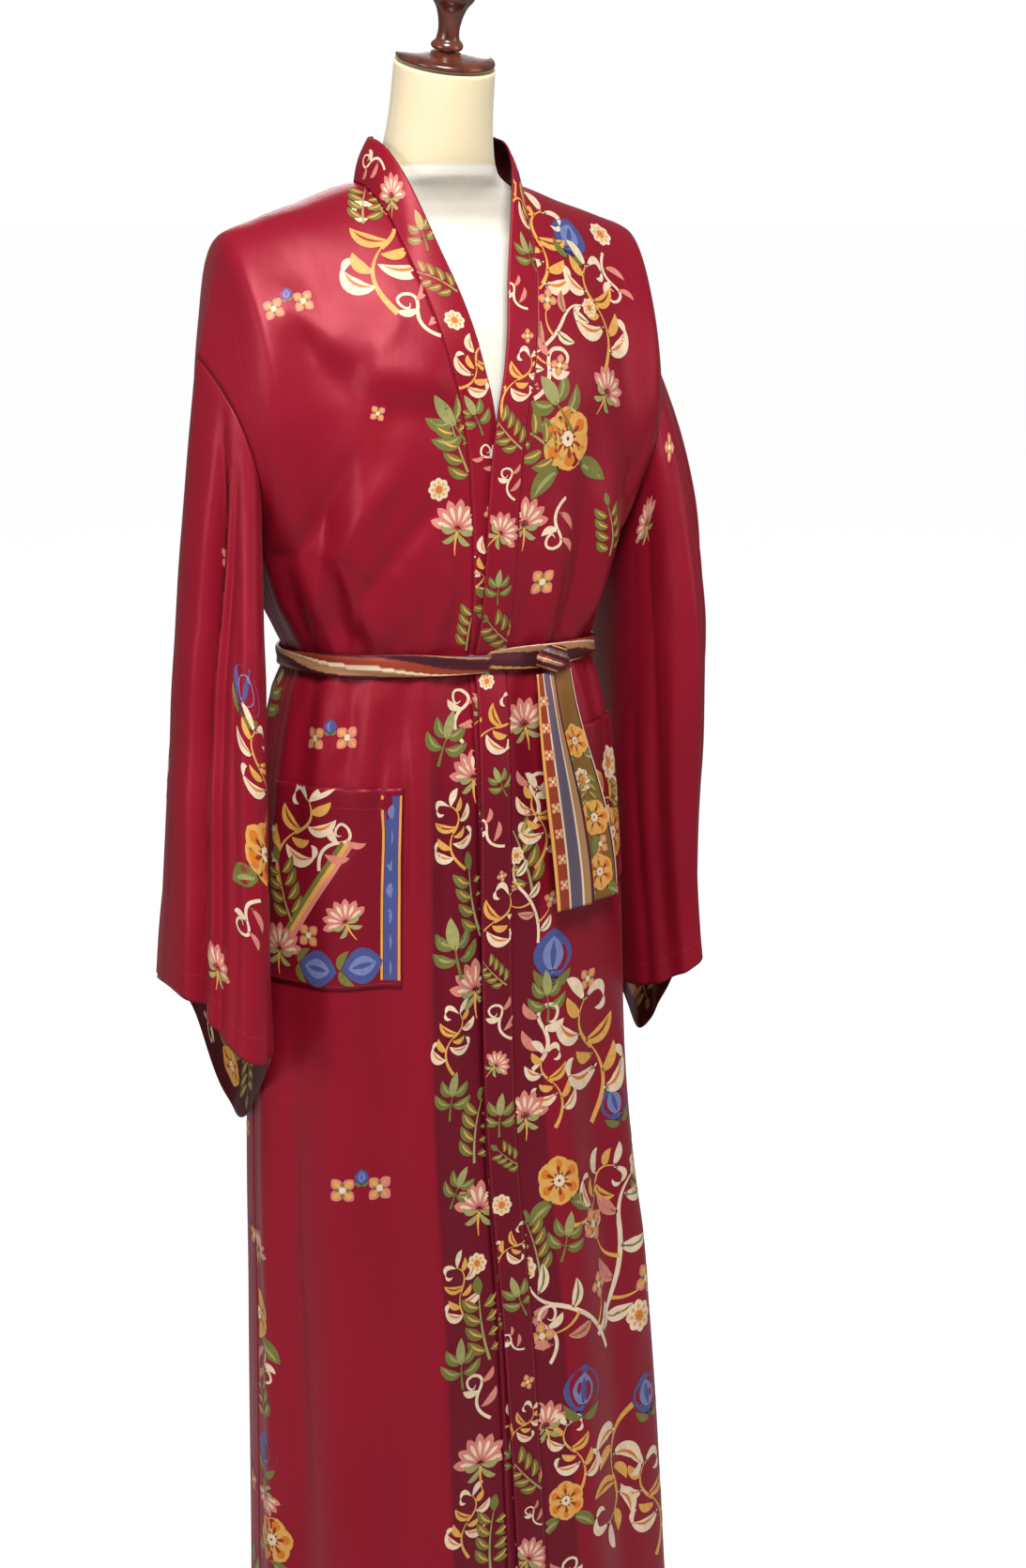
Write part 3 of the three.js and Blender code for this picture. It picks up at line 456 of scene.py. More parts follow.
# ------------------------------------------------------------------ the robe's surface
def ring_point(half, q, z):
    """A point of a section: width times sine and depth times cosine, to the power 2 / 2.25."""
    angle = np.abs(q) * np.pi / 2
    power = 2 / RING_POWER
    depth = curve(ROBE_RINGS, 2 if half < 0 else 3, z)
    x = np.sign(q) * curve(ROBE_RINGS, 1, z) * np.sin(angle) ** power
    return x, half * depth * np.maximum(0, np.cos(angle)) ** power


def fold_height(half, q, z):
    """Gathers are a cosine across the cloth, and each large fold is a bell across q."""
    to_seam = smooth((1 - np.abs(q)) / 0.1)
    waves = np.cos(2 * np.pi * GATHER_WAVES[half] * q)
    height = curve(GATHERS, 1, z) * waves * to_seam
    for side, centre, width, depth, top, bottom, fade in BODY_FOLDS:
        if side == half:
            ease = smooth((top - z) / fade) * smooth((z - bottom) / 30)
            wander = 0.012 * np.sin(z / 95 + 9 * centre)
            height = height + depth * ease * to_seam * bell((q - centre - wander) / width)
    return height


def crease_height(half, q, z):
    """Each crease is a bell across a slanting line, fading at the line's two ends."""
    height = np.zeros(np.broadcast(q, z).shape)
    for side, q0, z0, q1, z1, width, depth in CREASES:
        if side != half:
            continue
        a = np.array([q0 * CREASE_REACH, z0])
        along = np.array([q1 * CREASE_REACH, z1]) - a
        length = np.hypot(*along)
        along = along / length
        px, pz = q * CREASE_REACH - a[0], z - a[1]
        t = (px * along[0] + pz * along[1]) / length
        bow = 7 * np.sin(np.pi * np.clip(t, 0, 1))
        across = px * -along[1] + pz * along[0] - bow
        ease = smooth(t / 0.3) * smooth((1 - t) / 0.3)
        height += depth * ease * bell(across / width)
    fine = np.sin(q * 61 + 1.3 * np.sin(z / 37)) * np.sin(z / 23 + 5 * q)
    near_belt = bell((z - WAIST_Z) / CRUMPLE_REACH)
    height += CRUMPLE * fine * near_belt * smooth((1 - np.abs(q)) / 0.1)
    return height


def still_point(half, q, level, creases=0.0):
    """The cloth before its swing. A level from 0 to 1 is the rise above the underarm, and a
    level below 0 is millimetres under it."""
    q, level = np.broadcast_arrays(np.asarray(q, float), np.asarray(level, float))
    rise = np.clip(level, 0, 1)
    foot_z = UNDERARM_Z + np.minimum(level, 0)
    foot_x, foot_y = ring_point(half, q, foot_z)
    size = np.abs(q)
    arm = smooth((size - 0.5) / 0.5) * np.sin(np.pi * rise) ** 0.75
    x = mix(foot_x, np.sign(q) * curve(SHOULDER, 1, size), rise**1.2)
    y = foot_y * curve(REACH, 1 if half < 0 else 2, rise) + half * ARM_BULGE * arm
    y = y + SHOULDER_Y * rise
    z = mix(foot_z, curve(SHOULDER, 2, size), rise)
    length = np.maximum(np.hypot(x, 1.6 * y), 1e-9)
    height = fold_height(half, q, z)
    if creases:
        height = height + creases * crease_height(half, q, z) * smooth((1 - rise) / 0.1)
    return stacked(x + x / length * height, y + 1.6 * y / length * height, z)


def swing(z):
    return curve(ROBE_RINGS, 4, z)


def cloth_point(half, q, level):
    """The finished cloth: the still one with all its creases, swung sideways by level."""
    p = still_point(half, q, level, creases=1.0)
    p[..., 0] += swing(p[..., 2])
    return p


def q_where(level, distance):
    """The q of each row at which the front is distance(level of the point) from the middle."""
    low, high = np.zeros(len(level)), np.ones(len(level))
    for _ in range(40):
        middle = (low + high) / 2
        p = still_point(-1, middle, level)
        short = p[:, 0] < distance(p[:, 2])
        low, high = np.where(short, middle, low), np.where(short, high, middle)
    return (low + high) / 2


def tucked(p, side):
    """The right front is pressed back under the left one near the middle."""
    if side < 0:
        p = p.copy()
        near = smooth((LAYER_X + p[..., 0]) / LAYER_EASE_X)
        p[..., 1] += LAYER * (near * smooth((LAYER_TOP - p[..., 2]) / LAYER_EASE_Z))
    return p


def body_levels():
    """Rows from the shoulder, closer together there, down to the underarm and the hem."""
    above = 1 - np.linspace(0, 1, 93) ** 1.35
    below = -np.linspace(0, UNDERARM_Z - HEM_Z, 239)[1:]
    return np.concatenate([above, below])


@lru_cache(maxsize=None)
def front_grid(side):
    level = body_levels()
    seam = q_where(level, lambda z: curve(NECKLINE, 1, z))
    seam[0] = NECK_Q
    share = np.linspace(0, 1, 76)
    q = seam[:, None] + (1 - seam[:, None]) * share
    return tucked(cloth_point(-1, side * q, level[:, None]), side)


@lru_cache(maxsize=None)
def back_grid():
    outer = np.linspace(1, NECK_Q, 52)[:-1]
    neck = np.linspace(-NECK_Q, NECK_Q, 27)
    q = np.concatenate([-outer, neck, outer[::-1]])
    level = body_levels()[:, None]
    dip = NECK_DIP * np.maximum(0, 1 - (q / NECK_Q) ** 2) ** 2
    level = np.where(level > 0, level * (1 - dip), level)
    return cloth_point(1, q[None, :], level)


@lru_cache(maxsize=None)
def band_grid(side):
    """Half of the neckband, from the middle back over the shoulder to the hem."""
    back = back_grid()
    middle = back.shape[1] // 2
    seam = back[0, middle : middle + 14] if side > 0 else back[0, middle : middle - 14 : -1]
    seam = seam[:-1]
    inward = stacked(-seam[:, 0], -(seam[:, 1] + 10), 0.0)
    edge = seam + unit(inward) * BAND_INWARD
    edge[:, 2] = seam[:, 2] + BAND_UP
    level = body_levels()
    front = front_grid(side)[:, 0]
    x = np.abs(side * (front[:, 0] - swing(front[:, 2]))) - BAND
    q = q_where(level, lambda z: np.abs(x))
    lying = tucked(cloth_point(-1, side * np.sign(x) * q, level), side)
    stand = front + np.array([-side * BAND_INWARD, -3, BAND_UP])
    up = np.where(level > 0, smooth((level - 0.7) / 0.28), 0)[:, None]
    front_edge = mix(lying, stand, up)
    seam, edge = np.concatenate([seam, front]), np.concatenate([edge, front_edge])
    share = np.linspace(0, 1, 15)[None, :, None]
    grid = mix(seam[:, None], edge[:, None], share)
    # The folded edge rolls a little: a rise of half a sine across the band.
    up_all = np.concatenate([np.ones(13), up[:, 0]])[:, None]
    bow = np.sin(np.pi * share[..., 0]) * (1.2 * (1 - up_all) + 2.5 * up_all)
    return grid + grid_normals(grid, False) * bow[..., None]


@lru_cache(maxsize=None)
def armhole(side):
    """The sleeve's first ring: the front's side column and then the back's, by equal steps."""
    share = np.arange(SLEEVE_ROUND) / SLEEVE_ROUND
    level = np.where(share < 0.5, 1 - 2 * share, 2 * share - 1)
    front = tucked(cloth_point(-1, side, level), side)
    back = cloth_point(1, side, level)
    return np.where((share < 0.5)[:, None], front, back)


@lru_cache(maxsize=None)
def sleeve_grid(side):
    """Rings that run straight from the armhole to the open end, swelling between, with
    lengthwise folds as bells around the ring."""
    x_end, forward, half, front, back, outer, inner = SLEEVES[side][:7]
    dip, low_at, low, low_width, ease = SLEEVES[side][7:]
    share = np.arange(SLEEVE_ROUND) / SLEEVE_ROUND
    turn = 2 * np.pi * share
    out = stacked(np.cos(turn), -np.sin(turn))
    reach = rounded(out, SLEEVE_POWER)
    to_low = share - low_at - np.round(share - low_at)
    hang = np.where(out[:, 1] < 0, dip * out[:, 1] ** 2, 0) + low * bell(to_low / low_width)
    end = stacked(
        side * (x_end + half * reach[:, 0]),
        np.where(out[:, 1] < 0, front, back) * reach[:, 1] - forward,
        mix(inner, outer, (1 + out[:, 0]) / 2) + hang,
    )
    down = np.linspace(0, 1, 132)[:, None]
    p = mix(armhole(side)[None], end[None], down[..., None])
    # Down times the square of one less down is 4/27 at its greatest.
    swell = ease * 27 / 4 * down * (1 - down) ** 2 * np.clip(0.5 + out[:, 0], 0, 1)
    started = np.minimum(down * 12, 1)
    for centre, width, depth, start in SLEEVE_FOLDS + SLEEVE_CREASES:
        here = bell((share - centre - 0.012 * np.sin(7 * down + 9 * centre)) / width)
        swell = swell + depth * here * np.minimum(smooth((down - start) / 0.3) + 0.15, 1) * started
    slack = np.sin(9 * np.pi * down + 3 * np.sin(turn)) * bell((down - 0.55) / 0.35)
    swell = swell + 1.1 * slack * np.sin(2 * turn + 0.8) * smooth(down * 4)
    p[..., 0] += side * out[:, 0] * swell
    p[..., 1] += out[:, 1] * swell
    return p


# ------------------------------------------------------------------ grids into meshes
def grid_normals(grid, closed):
    """Cross product of the differences along and down the grid, turned away from the axis."""
    if closed:
        across = np.roll(grid, -1, 1) - np.roll(grid, 1, 1)
    else:
        across = np.gradient(grid, axis=1)
    down = np.gradient(grid, axis=0)
    n = unit(np.cross(across, down))
    middle = grid.mean(axis=(0, 1))
    inside = stacked(middle[0] if closed else 0.0, 0.0, np.minimum(grid[..., 2], CHEST_Z))
    flip = np.sum(n * (grid - inside), -1) < 0
    if not closed:
        flip = np.full(flip.shape, flip.mean() > 0.5)
    n[flip] *= -1
    return n


def arc_lengths(grid):
    """Distance along the rows and down the columns, in metres, as a texture's u and v."""
    across = np.zeros(grid.shape[:2])
    across[:, 1:] = np.cumsum(np.linalg.norm(np.diff(grid, axis=1), axis=-1), 1)
    down = np.zeros(grid.shape[:2])
    down[1:] = np.cumsum(np.linalg.norm(np.diff(grid, axis=0), axis=-1), 0)
    return stacked(across * MM, down * MM)


def make_object(name, vertices, faces, material, uv=None, tint=None):
    """Puts the arrays into a new mesh, in metres, with smooth faces."""
    mesh = bpy.data.meshes.new(name)
    faces = np.asarray(faces, np.int32)
    size = faces.shape[1]
    mesh.vertices.add(len(vertices))
    mesh.vertices.foreach_set("co", (np.asarray(vertices) * MM).astype(np.float32).ravel())
    mesh.loops.add(faces.size)
    mesh.loops.foreach_set("vertex_index", faces.ravel())
    mesh.polygons.add(len(faces))
    mesh.polygons.foreach_set("loop_start", np.arange(0, faces.size, size, dtype=np.int32))
    mesh.update(calc_edges=True)
    mesh.polygons.foreach_set("use_smooth", np.ones(len(faces), bool))
    if uv is not None:
        layer = mesh.uv_layers.new(name="cloth")
        layer.data.foreach_set("uv", uv[faces.ravel()].astype(np.float32).ravel())
    if tint is not None:
        colours = mesh.color_attributes.new("tint", "FLOAT_COLOR", "POINT")
        colours.data.foreach_set("color", tint.astype(np.float32).ravel())
    mesh.validate()
    obj = bpy.data.objects.new(name, mesh)
    bpy.context.scene.collection.objects.link(obj)
    obj.data.materials.append(material)
    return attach(obj, "root")


def cells(index):
    """The four corners of each cell of a grid of indices."""
    corners = index[..., :-1, :-1], index[..., :-1, 1:], index[..., 1:, 1:], index[..., 1:, :-1]
    return np.stack(corners, -1).reshape(-1, 4)


def faces_outward(vertices, faces):
    """Reverses all faces of a closed mesh if its signed volume is negative."""
    a, b, c, d = (vertices[faces[:, k]] for k in range(4))
    volume = np.einsum("ij,ij->i", a, np.cross(b, c)).sum()
    volume += np.einsum("ij,ij->i", a, np.cross(c, d)).sum()
    return faces[:, ::-1] if volume < 0 else faces


def wall(grid, closed, thick):
    """Two copies of a grid, thick apart along its normals, joined around their rims."""
    normals = grid_normals(grid, closed)
    rows, columns = grid.shape[:2]
    count = rows * columns
    outer, inner = grid + normals * (thick / 2), grid - normals * (thick / 2)
    vertices = np.concatenate([outer.reshape(-1, 3), inner.reshape(-1, 3)])
    index = np.arange(count).reshape(rows, columns)
    ring = np.concatenate([index, index[:, :1]], 1) if closed else index
    sheet = cells(ring)
    parts = [sheet, sheet[:, ::-1] + count]
    edges = [(ring[0, 1:], ring[0, :-1]), (ring[-1, :-1], ring[-1, 1:])]
    if not closed:
        edges += [(ring[:-1, 0], ring[1:, 0]), (ring[1:, -1], ring[:-1, -1])]
    parts += [np.stack([p, q, q + count, p + count], -1) for p, q in edges]
    faces = np.concatenate(parts)
    uv = arc_lengths(grid).reshape(-1, 2)
    return vertices, faces_outward(vertices, faces), np.concatenate([uv, uv])


def lathe(profile, segments=72):
    """A profile turned about Z. Each corner is rounded by cutting it off three times over."""
    p = np.asarray(profile, float)
    for _ in range(3):
        cut = np.stack([mix(p[:-1], p[1:], 0.2), mix(p[:-1], p[1:], 0.8)], 1).reshape(-1, 2)
        p = np.concatenate([p[:1], cut, p[-1:]])
    p = p[1:-1] if p[0, 0] == 0 and p[-1, 0] == 0 else p
    turn = 2 * np.pi * np.arange(segments) / segments
    return stacked(p[:, :1] * np.cos(turn), p[:, :1] * np.sin(turn), p[:, 1:])


def closed_loft(rings):
    """Rings joined by quads, with a fan of thin quads to a middle point at either end."""
    rows, columns = rings.shape[:2]
    first = np.repeat(rings[0].mean(0)[None], columns, 0)
    last = np.repeat(rings[-1].mean(0)[None], columns, 0)
    rings = np.concatenate([[mix(rings[0], first, 0.5)], rings, [mix(rings[-1], last, 0.5)]])
    rows += 2
    vertices = np.concatenate([rings.reshape(-1, 3), first[:1], last[:1]])
    index = np.arange(rows * columns).reshape(rows, columns)
    ring = np.concatenate([index, index[:, :1]], 1)
    quads = cells(ring)
    foot, head = rows * columns, rows * columns + 1
    step = np.arange(0, columns, 2)
    start = [np.full(len(step), foot), ring[0, step + 2], ring[0, step + 1], ring[0, step]]
    end = [np.full(len(step), head), ring[-1, step], ring[-1, step + 1], ring[-1, step + 2]]
    cap0, cap1 = np.stack(start, -1), np.stack(end, -1)
    faces = np.concatenate([quads, cap0, cap1])
    return vertices, faces_outward(vertices, faces)


# ------------------------------------------------------------------ materials
def group_of(name, inputs, outputs):
    """A new shader node group with its named sockets, and its input and output nodes."""
    tree = bpy.data.node_groups.new(name, "ShaderNodeTree")
    for way, sockets in (("INPUT", inputs), ("OUTPUT", outputs)):
        for socket, kind in sockets.items():
            tree.interface.new_socket(name=socket, in_out=way, socket_type="NodeSocket" + kind)
    return tree, tree.nodes.new("NodeGroupInput"), tree.nodes.new("NodeGroupOutput")


def node(tree, kind, links=(), **values):
    """A new node with properties and input values set, and links made into its inputs."""
    made = tree.nodes.new(kind)
    for key, value in values.items():
        if key in made.bl_rna.properties:
            setattr(made, key, value)
    for key, value in values.items():
        if key not in made.bl_rna.properties:
            made.inputs[key.replace("_", " ")].default_value = value
    for source, target in links:
        tree.links.new(source, made.inputs[target])
    return made


def maths(tree, operation, a, b):
    made = tree.nodes.new("ShaderNodeMath")
    made.operation = operation
    for socket, value in zip(made.inputs, (a, b)):
        if isinstance(value, (int, float)):
            socket.default_value = value
        else:
            tree.links.new(value, socket)
    return made.outputs[0]


def noise(tree, vector, scale, detail, **values):
    """A noise whose grains are smaller along each axis by that axis's scale."""
    mapping = node(tree, "ShaderNodeMapping", [(vector, "Vector")], Scale=scale)
    made = node(tree, "ShaderNodeTexNoise", [(mapping.outputs["Vector"], "Vector")],
                Scale=1.0, Detail=detail, **values)
    return made.outputs[0]


def weighed(tree, *terms):
    """The sum of each value times its weight."""
    parts = [maths(tree, "MULTIPLY", value, weight) for value, weight in terms]
    total = parts[0]
    for part in parts[1:]:
        total = maths(tree, "ADD", total, part)
    return total


def set_inputs(shader, **values):
    for name, value in values.items():
        shader.inputs[name.replace("_", " ")].default_value = value


def bumped(tree, shader, height, strength, distance):
    bump = node(tree, "ShaderNodeBump", [(height, "Height")], Strength=strength, Distance=distance)
    tree.links.new(bump.outputs["Normal"], shader.inputs["Normal"])


def tinted(tree, shader, amount):
    """The base colour: the mesh's own tint times an amount."""
    shade = node(tree, "ShaderNodeMix", data_type="RGBA", blend_type="MULTIPLY")
    shade.inputs["Factor"].default_value = 1.0
    tint = node(tree, "ShaderNodeAttribute", attribute_name="tint")
    tree.links.new(tint.outputs["Color"], shade.inputs["A"])
    tree.links.new(amount, shade.inputs["B"])
    tree.links.new(shade.outputs["Result"], shader.inputs["Base Color"])


def satin_group():
    """Fine threads along the cloth, small slack ripples and slow tone changes."""
    if "satin_cloth" in bpy.data.node_groups:
        return bpy.data.node_groups["satin_cloth"]
    tree, given, out = group_of("satin_cloth", {"Cloth": "Vector"},
                                {"Shade": "Float", "Height": "Float", "Gloss": "Float"})
    cloth = given.outputs["Cloth"]
    threads = noise(tree, cloth, (2600, 160, 1), 2.0)
    weft = noise(tree, cloth, (140, 2100, 1), 2.0)
    ripple = noise(tree, cloth, (24, 9, 1), 1.5, Roughness=0.4, Distortion=0.3)
    pucker = noise(tree, cloth, (95, 60, 1), 1.0)
    tone = noise(tree, cloth, (7, 4, 1), 2.0)
    fibre = maths(tree, "ADD", threads, weft)
    height = weighed(tree, (ripple, 1.0), (pucker, 0.12), (fibre, 0.03))
    shade = weighed(tree, (fibre, 0.16), (tone, 0.42))
    gloss = weighed(tree, (tone, 0.14))
    tree.links.new(maths(tree, "ADD", shade, 0.64), out.inputs["Shade"])
    tree.links.new(height, out.inputs["Height"])
    tree.links.new(maths(tree, "ADD", gloss, 0.33), out.inputs["Gloss"])
    return tree


def wood_group():
    """Long grain streaks that bend with a slow noise, and fine pores between them."""
    tree, given, out = group_of("turned_grain", {"Place": "Vector"},
                                {"Streak": "Float", "Height": "Float"})
    place = given.outputs["Place"]
    streak = noise(tree, place, (60, 60, 7), 4.0, Roughness=0.6, Distortion=1.2)
    pores = noise(tree, place, (900, 900, 60), 2.0)
    tree.links.new(weighed(tree, (streak, 0.8), (pores, 0.25)), out.inputs["Streak"])
    tree.links.new(pores, out.inputs["Height"])
    return tree


def empty_material(name):
    material = bpy.data.materials.new(name)
    material.use_nodes = True
    return material, material.node_tree, material.node_tree.nodes["Principled BSDF"]


def cloth_material(name):
    """Satin: the piece's own tint times the weave's shade."""
    if name in bpy.data.materials:
        return bpy.data.materials[name]
    material, tree, shader = empty_material(name)
    uv = node(tree, "ShaderNodeUVMap", uv_map="cloth")
    satin = node(tree, "ShaderNodeGroup", [(uv.outputs["UV"], "Cloth")], node_tree=satin_group())
    tinted(tree, shader, satin.outputs["Shade"])
    tree.links.new(satin.outputs["Gloss"], shader.inputs["Roughness"])
    bumped(tree, shader, satin.outputs["Height"], 0.55, 0.0035)
    set_inputs(shader, Sheen_Weight=0.06, Sheen_Roughness=0.3, Sheen_Tint=(1.0, 0.3, 0.34, 1.0),
               Specular_IOR_Level=0.62, Specular_Tint=(1.0, 0.28, 0.32, 1.0))
    return material


def linen_material():
    """The form's cover: its own tint times a weave and slow stains."""
    material, tree, shader = empty_material("form_cover")
    place = node(tree, "ShaderNodeTexCoord").outputs["Object"]
    weave = noise(tree, place, (900, 900, 1500), 3.0)
    stain = noise(tree, place, (9, 9, 9), 3.0)
    amount = weighed(tree, (weave, 0.18), (stain, 0.22))
    tinted(tree, shader, maths(tree, "ADD", amount, 0.8))
    bumped(tree, shader, weave, 0.3, 0.0006)
    set_inputs(shader, Roughness=0.8, Sheen_Weight=0.3)
    return material


def wood_material(dark, light):
    """Polished wood: its grain from dark to light under a clear coat."""
    material, tree, shader = empty_material("turned_wood")
    place = node(tree, "ShaderNodeTexCoord").outputs["Object"]
    grain = node(tree, "ShaderNodeGroup", [(place, "Place")], node_tree=wood_group())
    ramp = node(tree, "ShaderNodeValToRGB", [(grain.outputs["Streak"], "Fac")])
    for stop, position, ink in zip(ramp.color_ramp.elements, (0.35, 0.68), (dark, light)):
        stop.position = position
        stop.color = (*ink, 1.0)
    tree.links.new(ramp.outputs["Color"], shader.inputs["Base Color"])
    bumped(tree, shader, grain.outputs["Height"], 0.1, 0.0004)
    set_inputs(shader, Roughness=0.28, Coat_Weight=0.8, Coat_Roughness=0.12)
    return material


# ------------------------------------------------------------------ the print
INKS = {
    "cream": (0.80, 0.63, 0.44),
    "gold": (0.72, 0.37, 0.085),
    "amber": (0.66, 0.19, 0.022),
    "pink": (0.64, 0.22, 0.17),
    "olive": (0.16, 0.17, 0.04),
    "sage": (0.33, 0.33, 0.12),
    "blue": (0.055, 0.085, 0.25),
    "sky": (0.16, 0.21, 0.42),
    "rust": (0.26, 0.04, 0.015),
    "wine": (0.085, 0.006, 0.012),
    "tan": (0.36, 0.19, 0.09),
    "slate": (0.10, 0.085, 0.125),
    "bronze": (0.20, 0.10, 0.02),
    "thread": (0.36, 0.03, 0.05),
}
SHAPES = ("leaf", "petal", "stem", "stripe", "disc")


def stroke(points, width, shape, ink):
    """One stroke: start, bend and end of its curve in millimetres, width, shape and ink."""
    return (*points, width, SHAPES.index(shape), list(INKS).index(ink))


def petals(count, inner, outer, width, ink, start=0.0, spread=360.0, shape="petal"):
    """Straight strokes from one ring out to a wider one, at equal angles."""
    step = spread / count if spread == 360 else spread / (count - 1)
    made = []
    for k in range(count):
        turn = math.radians(90 + start + (k * step if spread == 360 else k * step - spread / 2))
        c, s = math.cos(turn), math.sin(turn)
        middle = (inner + outer) / 2
        made.append(stroke((inner * c, inner * s, middle * c, middle * s, outer * c, outer * s),
                           width, shape, ink))
    return made


def pairs(rows, width, shape, ink):
    """Each stroke and its reflection in the upright axis."""
    made = []
    for x0, y0, x1, y1, x2, y2 in rows:
        made.append(stroke((x0, y0, x1, y1, x2, y2), width, shape, ink))
        made.append(stroke((-x0, y0, -x1, y1, -x2, y2), width, shape, ink))
    return made


def moved(strokes, dx=0.0, dy=0.0, scale=1.0, turn=0.0):
    """Strokes turned by degrees, scaled and shifted."""
    table = np.array(strokes, float)
    c, s = math.cos(math.radians(turn)) * scale, math.sin(math.radians(turn)) * scale
    x, y = table[:, 0:6:2].copy(), table[:, 1:6:2].copy()
    table[:, 0:6:2] = x * c - y * s + dx
    table[:, 1:6:2] = x * s + y * c + dy
    table[:, 6] *= scale
    return [tuple(row) for row in table]


def stitched(name, grid, closed, lines, lift):
    """Rows of stitches, one face each. A line runs straight from one share along the rows and
    down the columns to another."""
    rows, columns = grid.shape[:2]
    normals, flat = grid_normals(grid, closed), arc_lengths(grid)
    wide = columns if closed else columns - 1
    points, textures = [], []
    for share_0, drop_0, share_1, drop_1 in lines:
        t = np.linspace(0, 1, 400)
        row = np.clip(mix(drop_0, drop_1, t) * (rows - 1), 0, rows - 1.001)
        column = np.clip(mix(share_0, share_1, t) * wide, 0, wide - 0.001)
        path = sampled(grid, row, column, closed)
        length = np.concatenate([[0], np.cumsum(np.linalg.norm(np.diff(path, axis=0), axis=-1))])
        start = np.arange(1.0, length[-1] - STITCH, STITCH_STEP)
        ends = stacked(start, start + STITCH)
        at_row, at_column = np.interp(ends, length, row), np.interp(ends, length, column)
        centre = sampled(grid, at_row, at_column, closed)
        normal = sampled(normals, at_row, at_column, closed)
        side = unit(np.cross(normal, centre[:, 1:] - centre[:, :1])) * STITCH_HALF
        centre = centre + normal * lift
        points.append(np.stack([centre[:, 0] - side[:, 0], centre[:, 1] - side[:, 1],
                                centre[:, 1] + side[:, 1], centre[:, 0] + side[:, 0]], 1))
        textures.append(sampled(flat, at_row, at_column, closed)[:, [0, 1, 1, 0]])
    points, textures = np.concatenate(points).reshape(-1, 3), np.concatenate(textures)
    faces = np.arange(len(points)).reshape(-1, 4)
    tint = with_alpha(np.tile(INKS["thread"], (len(points), 1)))
    piece = make_object(name, points, faces, cloth_material("print_silk"),
                        textures.reshape(-1, 2), tint)
    return piece


